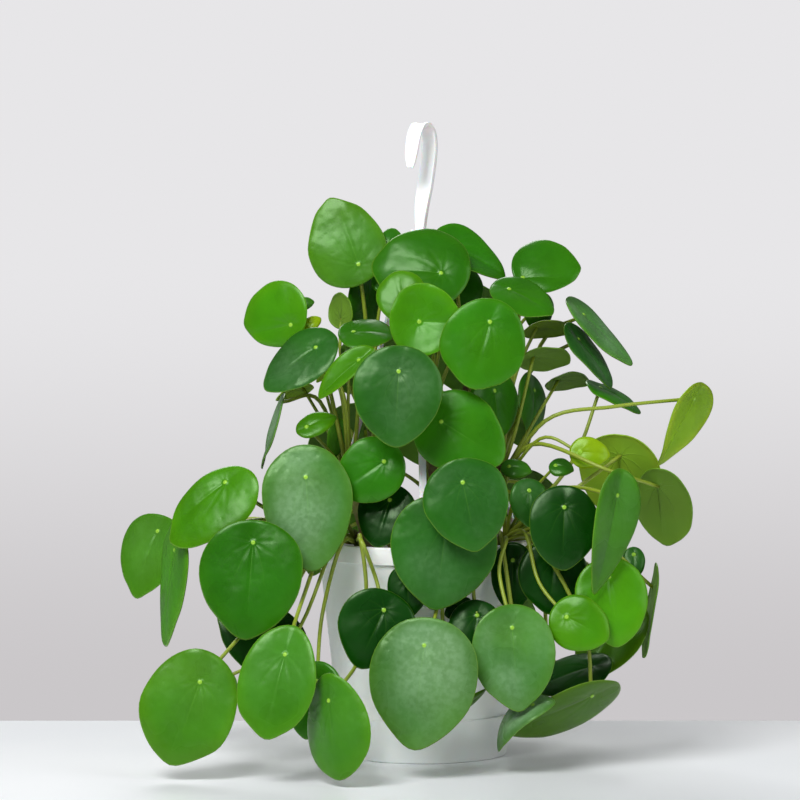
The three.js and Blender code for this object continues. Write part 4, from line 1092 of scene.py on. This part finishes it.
@dataclass
class LeafyStem:
    """A stem with its stalks and blades."""

    name: str
    stem: Stem
    leaves: tuple[Leaf, ...]
    first_phase: int
    stalk_steps: int = 7
    stalk_sides: int = 8
    foot_radius: float = 1.62
    narrowing: float = 0.35
    grown_length: float = 55.0
    # How much the stalk is thicker at its foot and under the blade, and over what share of it.
    foot_swell: tuple[float, float] = (0.45, 0.06)
    end_swell: tuple[float, float] = (0.25, 0.05)
    blade_thickness: float = 0.8
    root: float = 2.0
    maker: BladeMaker = field(default_factory=BladeMaker)

    def stalk_line(self, leaf: Leaf) -> list[Vector]:
        """Axis of a leaf's stalk in millimetres.

        Args:
            leaf: The leaf.

        Returns:
            Points from inside the stem to the blade.
        """
        place = leaf.joint * self.stem.steps
        below = min(int(place), self.stem.steps - 1)
        low = self.stem.point(below / self.stem.steps)
        start = low.lerp(self.stem.point((below + 1) / self.stem.steps), place - below)
        bends = [Vector(p) for p in leaf.via]
        outward = bends[0] - start
        outward.z = 0
        start += outward.normalized() * self.root
        end = Vector(leaf.at) - leaf.axes()[2] * self.maker.dimple * 0.6
        return curve_points([start, *bends, end], self.stalk_steps)

    def stalk(self, leaf: Leaf) -> bmesh.types.BMesh:
        """The stalk's rod, a little thicker at its foot and under the blade.

        Args:
            leaf: The leaf.

        Returns:
            The rod in metres with its along attribute.
        """
        line = self.stalk_line(leaf)
        grown = 0.72 + 0.28 * min(1.0, leaf.size[0] / self.grown_length)
        radii: list[float] = []
        for k in range(len(line)):
            u = k / (len(line) - 1)
            swell = sum(more * math.exp(-((away / share) ** 2)) for away, (more, share)
                        in ((u, self.foot_swell), (1 - u, self.end_swell)))
            radii.append((self.foot_radius - self.narrowing * u + swell) * grown)
        bm = rod([p * MM for p in line], [r * MM for r in radii], self.stalk_sides,
                 leaf.axes()[2])
        layer = bm.verts.layers.float.new("along")
        start = line[0] * MM
        reach = (line[-1] * MM - start).length
        for vert in bm.verts:
            vert[layer] = min(1.0, (vert.co - start).length / reach)
        return bm

    def build(self, blade: Sequence[bpy.types.Material], stalk: Sequence[bpy.types.Material]
              ) -> None:
        """Makes the two pieces of the stem: its blades, and its wood with the stalks.

        Args:
            blade: Upper and under finishes of the blades; the edge takes the upper one.
            stalk: Finishes of the stalks and of the stem.
        """
        node = f"leafy_stem_{self.name}"
        draw = random.Random(f"pilea {self.name}")
        blades = Workpiece(f"blades_{self.name}")
        stalks = Workpiece(f"stalks_{self.name}")
        stalks.add(self.stem.body(), 1)
        for k, leaf in enumerate(self.leaves):
            phase = 2.4 * (self.first_phase + k)
            blades.add(self.maker.build(leaf, phase, draw))
            stalks.add(self.stalk(leaf))
        piece = blades.finish(blade, "plant", [node])
        thick = piece.modifiers.new("thickness", "SOLIDIFY")
        thick.thickness = self.blade_thickness * MM
        thick.offset = 0.0
        thick.material_offset = 1
        thick.material_offset_rim = 0
        stalks.finish(stalk, "plant", [node])


# ---------------------------------------------------------------- pot, saucer and soil


@dataclass
class Pot:
    """Conical pot with a thick band under its lip, and the clipped drip saucer."""

    height: float = 150.0
    lip: float = 75.0
    band: float = 12.0
    wall_radius: float = 72.6
    foot_radius: float = 57.1
    foot_z: float = 2.1
    wall: float = 1.8
    floor: float = 2.2
    sides: int = 128
    saucer_height: float = 29.5
    saucer_floor: float = 1.8
    saucer_wall: float = 1.5
    gap: float = 0.35

    def wall_at(self, z: float) -> float:
        """Outside radius of the conical wall at a height."""
        slope = (self.wall_radius - self.foot_radius) / (self.height - self.band - self.foot_z)
        return self.foot_radius + slope * (z - self.foot_z)

    def build_pot(self, finish: bpy.types.Material) -> None:
        """Makes the pot.

        Args:
            finish: Its plastic.
        """
        band_z = self.height - self.band
        floor_z = self.foot_z + self.floor
        inner = self.wall_radius - self.wall
        profile = rounded([
            (0, self.foot_z, 0), (self.foot_radius, self.foot_z, 1.2),
            (self.wall_at(band_z), band_z, 0.25), (self.lip, band_z, 0.5),
            (self.lip, self.height, 1.0), (inner, self.height, 1.0), (inner, band_z, 0.5),
            (self.wall_at(floor_z) - self.wall, floor_z, 1.0), (0, floor_z, 0),
        ])
        piece = Workpiece("pot_shell")
        piece.add(turned(profile, self.sides))
        piece.finish([finish], "pot", ["pot"])

    def build_saucer(self, finish: bpy.types.Material) -> None:
        """Makes the saucer.

        Args:
            finish: Its plastic.
        """
        low = self.wall_at(self.saucer_floor) + self.gap
        high = self.wall_at(self.saucer_height) + self.gap
        profile = rounded([
            (0, 0, 0), (low + self.saucer_wall, 0, 1.6),
            (high + self.saucer_wall, self.saucer_height, 0.6),
            (high, self.saucer_height, 0.4), (low, self.saucer_floor, 1.0),
            (0, self.saucer_floor, 0),
        ])
        piece = Workpiece("saucer_shell")
        piece.add(turned(profile, self.sides))
        piece.finish([finish], "saucer", ["saucer"])


@dataclass
class Soil:
    """Potting soil with an uneven crumbly top."""

    pot: Pot
    rim_z: float = 136.5
    mid_z: float = 139.0
    crumbs: int = 420
    rings: int = 26
    sides: int = 96

    def level(self, x: float, y: float) -> float:
        """Height of the soil at a place.

        Args:
            x: Place to the right, in millimetres.
            y: Place away from the front.

        Returns:
            The height in millimetres.
        """
        part = min(1.0, math.hypot(x, y) / self.pot.wall_radius)
        lumps = noise.noise(Vector((x / 9, y / 9, 3.1))) * 1.3
        lumps += noise.noise(Vector((x / 3.2, y / 3.2, 7.7))) * 0.7
        return self.mid_z - (self.mid_z - self.rim_z) * part ** 2 + lumps - 0.6

    def build(self, finish: bpy.types.Material) -> None:
        """Makes the soil and its crumbs.

        Args:
            finish: The soil's material.
        """
        bottom = self.pot.foot_z + self.pot.floor + 0.3
        low = self.pot.wall_at(bottom) - self.pot.wall - self.pot.gap
        high = self.pot.wall_at(self.rim_z) - self.pot.wall - self.pot.gap

        def place(row: int, column: int) -> tuple[Vector]:
            """Point of the soil's skin: bottom, wall, then the top in rings to the middle."""
            angle = 2 * math.pi * column / self.sides
            ring = max(0, row - 2)
            radius = (0.0, low)[row] if row < 2 else high * (1 - ring / self.rings)
            x, y = radius * math.cos(angle), radius * math.sin(angle)
            z = bottom if row < 2 else self.level(x, y)
            return (Vector((x, y, z)) * MM,)

        piece = Workpiece("soil_body")
        piece.add(wrapped_sheet(self.rings + 2, self.sides, place, Pole.OPEN))
        draw = random.Random("soil crumbs")
        for _ in range(self.crumbs):
            reach = high * 0.96 * math.sqrt(draw.random())
            angle = draw.uniform(0, 2 * math.pi)
            x, y = reach * math.cos(angle), reach * math.sin(angle)
            size = draw.uniform(0.5, 1.7)
            crumb = bmesh.new()
            bmesh.ops.create_icosphere(crumb, subdivisions=1, radius=size * MM)
            for vert in crumb.verts:
                vert.co *= draw.uniform(0.7, 1.25)
            turn = Matrix.Rotation(draw.uniform(0, 6.3), 3, "X")
            bmesh.ops.rotate(crumb, verts=crumb.verts, matrix=turn)
            bmesh.ops.translate(crumb, verts=crumb.verts,
                                vec=Vector((x, y, self.level(x, y) + size * 0.3)) * MM)
            piece.add(crumb)
        piece.finish([finish], "soil", ["soil"])


# ---------------------------------------------------------------- hanger


@dataclass
class Hanger:
    """White plastic hook with its hub, and the three straps down to the pot's lip."""

    pot: Pot
    hub_x: float = -3.5
    hub_z: float = 356.0
    disc_radius: float = 10.5
    disc_thickness: float = 6.0
    neck_radius: float = 5.5
    neck_top: float = 367.0
    turn: float = 28.0
    web: float = 2.0
    flange: float = 1.6
    strap_width: float = 5.0
    strap_thickness: float = 1.6
    strap_gap: float = 0.45
    clip_depth: float = 1.8
    # Distances from the hub's axis of the strap's head: its tip, its bend and its outside.
    head: tuple[float, float, float] = (6.3, 7.7, 9.4)
    knee_z: float = 153.0
    foot_z: float = 134.4
    head_z: float = 365.0
    # Inner line of the hook: forward of the hub, height, half width, depth of the flanges.
    line: tuple[tuple[float, float, float, float], ...] = (
        (-1.5, 366, 3.2, 4.6), (-2, 374, 4, 4.4), (-4, 385, 5, 4.2), (-8, 396, 5.5, 4),
        (-12, 408, 5.5, 4), (-15, 420, 5.5, 4), (-15.6, 428, 5.5, 4), (-14, 434, 5.5, 3.6),
        (-10.4, 438.2, 5.5, 3), (-6, 439.6, 5.5, 2.6), (-1, 438.6, 5.5, 2.4),
        (3, 435, 5.5, 2.3), (6.4, 429, 5.3, 2.2), (8.6, 421, 4.8, 2.2), (9.8, 414, 3.6, 2.2),
        (10.4, 410, 2.4, 2.2),
    )
    straps: tuple[tuple[str, float], ...] = (
        ("front", -90.0), ("back_right", 30.0), ("back_left", 150.0),
    )

    def rings(self) -> list[list[Vector]]:
        """Rings of the hook's channel along its line.

        Returns:
            Rings of points in millimetres.
        """
        sine, cosine = math.sin(math.radians(self.turn)), math.cos(math.radians(self.turn))
        forward, across = Vector((-sine, -cosine, 0)), Vector((cosine, -sine, 0))
        stations = curve_points([Vector(row[:3]) for row in self.line], 4)
        depths = curve_points([Vector((row[3], 0, 0)) for row in self.line], 4)
        rings: list[list[Vector]] = []
        last = len(stations) - 1
        for k, (reach, z, half) in enumerate(stations):
            step = stations[min(last, k + 1)] - stations[max(0, k - 1)]
            along = Vector((step.x, step.y)).normalized()
            outward = forward * -along.y + Vector((0, 0, along.x))
            depth, rib, web = depths[k].x, half - self.flange, self.web
            right = [(half - 0.3, 0), (half, 0.3), (half, depth - 0.3), (half - 0.3, depth),
                     (rib + 0.3, depth), (rib, depth - 0.2 * (depth - web)), (rib, web + 0.1),
                     (rib - 0.3, web)]
            outline = right + [(-w, m) for w, m in reversed(right)]
            origin = Vector((self.hub_x, 0, z)) + forward * reach
            rings.append([origin + across * w + outward * m for w, m in outline])
        return rings

    def build_hook(self, finish: bpy.types.Material) -> None:
        """Makes the hook and its hub.

        Args:
            finish: The hook's plastic.
        """
        top = self.hub_z + self.disc_thickness
        hub = turned(rounded([
            (0, self.hub_z, 0), (self.disc_radius, self.hub_z, 1.0),
            (self.disc_radius, top, 1.0), (self.neck_radius, top, 0.6),
            (self.neck_radius, self.neck_top, 0.8), (0, self.neck_top, 0),
        ]), 64)
        bmesh.ops.translate(hub, verts=hub.verts, vec=(self.hub_x * MM, 0, 0))
        rings = self.rings()
        channel = wrapped_sheet(len(rings) - 1, len(rings[0]),
                                lambda row, column: (rings[row][column] * MM,), Pole.CAPPED)
        piece = Workpiece("hook_body")
        piece.add(hub)
        piece.add(channel)
        hook = piece.finish([finish], "hook", ["hanger_hook"])
        edge = hook.modifiers.new("soft_edges", "BEVEL")
        edge.width = 0.0002
        edge.segments = 2
        edge.limit_method = "ANGLE"

    def build_straps(self, finish: bpy.types.Material) -> None:
        """Makes the three straps.

        Args:
            finish: The straps' plastic.
        """
        band_z = self.pot.height - self.pot.band
        disc_top = self.hub_z + self.disc_thickness
        tip, bend, out = self.head
        for name, degrees in self.straps:
            a = math.radians(degrees)
            lip = Vector((math.cos(a), math.sin(a), 0)) * self.pot.lip
            line = lip - Vector((self.hub_x, 0, 0))
            reach, angle = line.length, math.atan2(line.y, line.x)
            inner, clip = reach + self.strap_gap, reach - self.clip_depth
            outer = inner + self.strap_thickness
            outline = [
                (clip, self.foot_z), (outer, self.foot_z), (outer, self.knee_z + 0.6),
                (out, self.hub_z - 1), (out, self.head_z), (tip, self.head_z),
                (tip, disc_top + 0.3), (bend, disc_top + 0.3), (bend, self.hub_z - 1.6),
                (inner, self.knee_z), (inner, band_z - 0.4), (clip, band_z - 0.4),
            ]
            bm = bmesh.new()
            side = -self.strap_width / 2
            corners = [bm.verts.new(Vector((u, side, z)) * MM) for u, z in outline]
            plate = bm.faces.new(corners)
            grown = bmesh.ops.extrude_face_region(bm, geom=[plate])
            moved = [g for g in grown["geom"] if isinstance(g, bmesh.types.BMVert)]
            bmesh.ops.translate(bm, verts=moved, vec=(0, self.strap_width * MM, 0))
            bmesh.ops.recalc_face_normals(bm, faces=bm.faces)
            bmesh.ops.bevel(bm, geom=list(bm.edges), offset=0.25 * MM, segments=2,
                            profile=0.5, affect="EDGES", material=-1, clamp_overlap=True)
            bmesh.ops.rotate(bm, verts=bm.verts, matrix=Matrix.Rotation(angle, 3, "Z"))
            bmesh.ops.translate(bm, verts=bm.verts, vec=(self.hub_x * MM, 0, 0))
            piece = Workpiece(f"strap_{name}")
            piece.add(bm)
            piece.finish([finish], "strap", [f"hanger_strap_{name}"])


# ---------------------------------------------------------------- studio


@dataclass
class Studio:
    """Pale table top, pale even surroundings, soft lights and the camera."""

    table_back: float = 0.164
    table_half: float = 3.0
    table_front: float = -4.0
    # Wall colours: the foot colour is painted shade, darker where the wall meets the table.
    wall_top: tuple[int, int, int] = (231, 230, 232)
    shaded_wall_foot: tuple[int, int, int] = (202, 199, 201)
    lens: float = 154.286
    eye: tuple[float, float, float] = (-0.0161, -2.4, 0.350)
    pitch: float = -2.435
    ambient: float = 0.22
    shaded_wall_foot_at: float = -0.13
    wall_top_at: float = 0.0
    # Name, place, side and power of each soft light.
    lamps: tuple[tuple[str, tuple[float, float, float], float, float], ...] = (
        ("softbox", (-0.9, -1.8, 2.0), 1.2, 72.0), ("fill_right", (1.9, -1.4, 1.2), 1.3, 15.0),
        ("back", (-0.4, 1.7, 1.8), 1.3, 30.0),
    )

    def build_table(self) -> None:
        """Makes the pale table top that the pot stands on."""
        s = Shader("table_white")
        place = s.place()
        cloud = s.speckle(place, 3.0, 3.0)
        colour = s.mix(s.ramp(cloud, 0.3, 0.7), linear((246, 248, 250)),
                       linear((241, 244, 247)))
        s.set(Base_Color=colour, Roughness=0.3)
        bm = bmesh.new()
        bmesh.ops.create_cube(bm, size=1.0)
        depth = self.table_back - self.table_front
        bmesh.ops.scale(bm, verts=bm.verts, vec=(2 * self.table_half, depth, 0.04))
        bmesh.ops.translate(bm, verts=bm.verts,
                            vec=(0, self.table_back - depth / 2, -0.02))
        bmesh.ops.bevel(bm, geom=list(bm.edges), offset=0.002, segments=3, profile=0.5,
                        affect="EDGES", material=-1)
        mesh = bpy.data.meshes.new("table_top")
        bm.to_mesh(mesh)
        bm.free()
        mesh.materials.append(s.material)
        table = bpy.data.objects.new("table_top", mesh)
        bpy.context.scene.collection.objects.link(table)

    def area(self, name: str, at: tuple[float, float, float], size: float, power: float
             ) -> None:
        """Square soft light aimed at the plant.

        Args:
            name: Its name.
            at: Its place in metres.
            size: Its side in metres.
            power: Its power in watts.
        """
        light = bpy.data.lights.new(name, "AREA")
        light.size = size
        light.energy = power
        lamp = bpy.data.objects.new(name, light)
        lamp.location = at
        aim = Vector((0, 0, 0.2)) - Vector(at)
        lamp.rotation_euler = aim.to_track_quat("-Z", "Y").to_euler()
        bpy.context.scene.collection.objects.link(lamp)

    def build_surroundings(self) -> None:
        """Makes the wall that shows, with painted shade that darkens it towards the table, and the
        even light round the plant.
        """
        world = bpy.data.worlds.new("surroundings")
        world.use_nodes = True
        nodes, links = world.node_tree.nodes, world.node_tree.links
        seen = nodes["Background"]
        rise = nodes.new("ShaderNodeSeparateXYZ")
        links.new(nodes.new("ShaderNodeTexCoord").outputs["Generated"], rise.inputs[0])
        step = nodes.new("ShaderNodeMapRange")
        step.interpolation_type = "SMOOTHSTEP"
        step.inputs["From Min"].default_value = self.shaded_wall_foot_at
        step.inputs["From Max"].default_value = self.wall_top_at
        links.new(rise.outputs["Z"], step.inputs["Value"])
        blend = nodes.new("ShaderNodeMix")
        blend.data_type = "RGBA"
        blend.inputs[6].default_value = linear(self.shaded_wall_foot)
        blend.inputs[7].default_value = linear(self.wall_top)
        links.new(step.outputs["Result"], blend.inputs[0])
        links.new(blend.outputs[2], seen.inputs["Color"])
        around = nodes.new("ShaderNodeBackground")
        around.inputs["Color"].default_value = linear(self.wall_top)
        around.inputs["Strength"].default_value = self.ambient
        choice = nodes.new("ShaderNodeMixShader")
        links.new(nodes.new("ShaderNodeLightPath").outputs["Is Camera Ray"], choice.inputs[0])
        links.new(around.outputs[0], choice.inputs[1])
        links.new(seen.outputs[0], choice.inputs[2])
        links.new(choice.outputs[0], nodes["World Output"].inputs["Surface"])
        bpy.context.scene.world = world

    def build(self) -> None:
        """Makes the table, the surroundings, the lights and the camera."""
        self.build_table()
        self.build_surroundings()
        for lamp in self.lamps:
            self.area(*lamp)
        camera = bpy.data.cameras.new("camera")
        camera.lens = self.lens
        camera.sensor_width = 36.0
        holder = bpy.data.objects.new("camera", camera)
        holder.location = self.eye
        holder.rotation_euler = (math.radians(90 + self.pitch), 0, 0)
        bpy.context.scene.collection.objects.link(holder)
        bpy.context.scene.camera = holder
        bpy.context.scene.view_settings.view_transform = "Standard"


def main() -> None:
    """Builds the studio, the pot, the hanger and the plant."""
    logging.basicConfig(level=logging.INFO, format="%(name)s %(message)s")
    Studio().build()
    pot = Pot()
    pot.build_pot(PlasticFinish("pot_plastic", (243, 246, 244), 0.42, 0.1).build())
    pot.build_saucer(PlasticFinish("saucer_plastic", (240, 243, 242), 0.42, 0.1).build())
    Soil(pot).build(SOIL.build())
    hanger = Hanger(pot)
    clear = PlasticFinish("hanger_plastic", (250, 252, 252), 0.3, 0.4).build()
    hanger.build_hook(clear)
    hanger.build_straps(clear)
    upper = BladeFinish().build()
    under = BladeFinish(name="blade_under", under=True).build()
    stalk = StalkFinish().build()
    bark = BARK.build()
    phase = 0
    for name, leaves in LEAVES.items():
        LeafyStem(name, STEMS[name], leaves, phase).build([upper, under], [stalk, bark])
        phase += len(leaves)


if __name__ == "__main__":
    main()
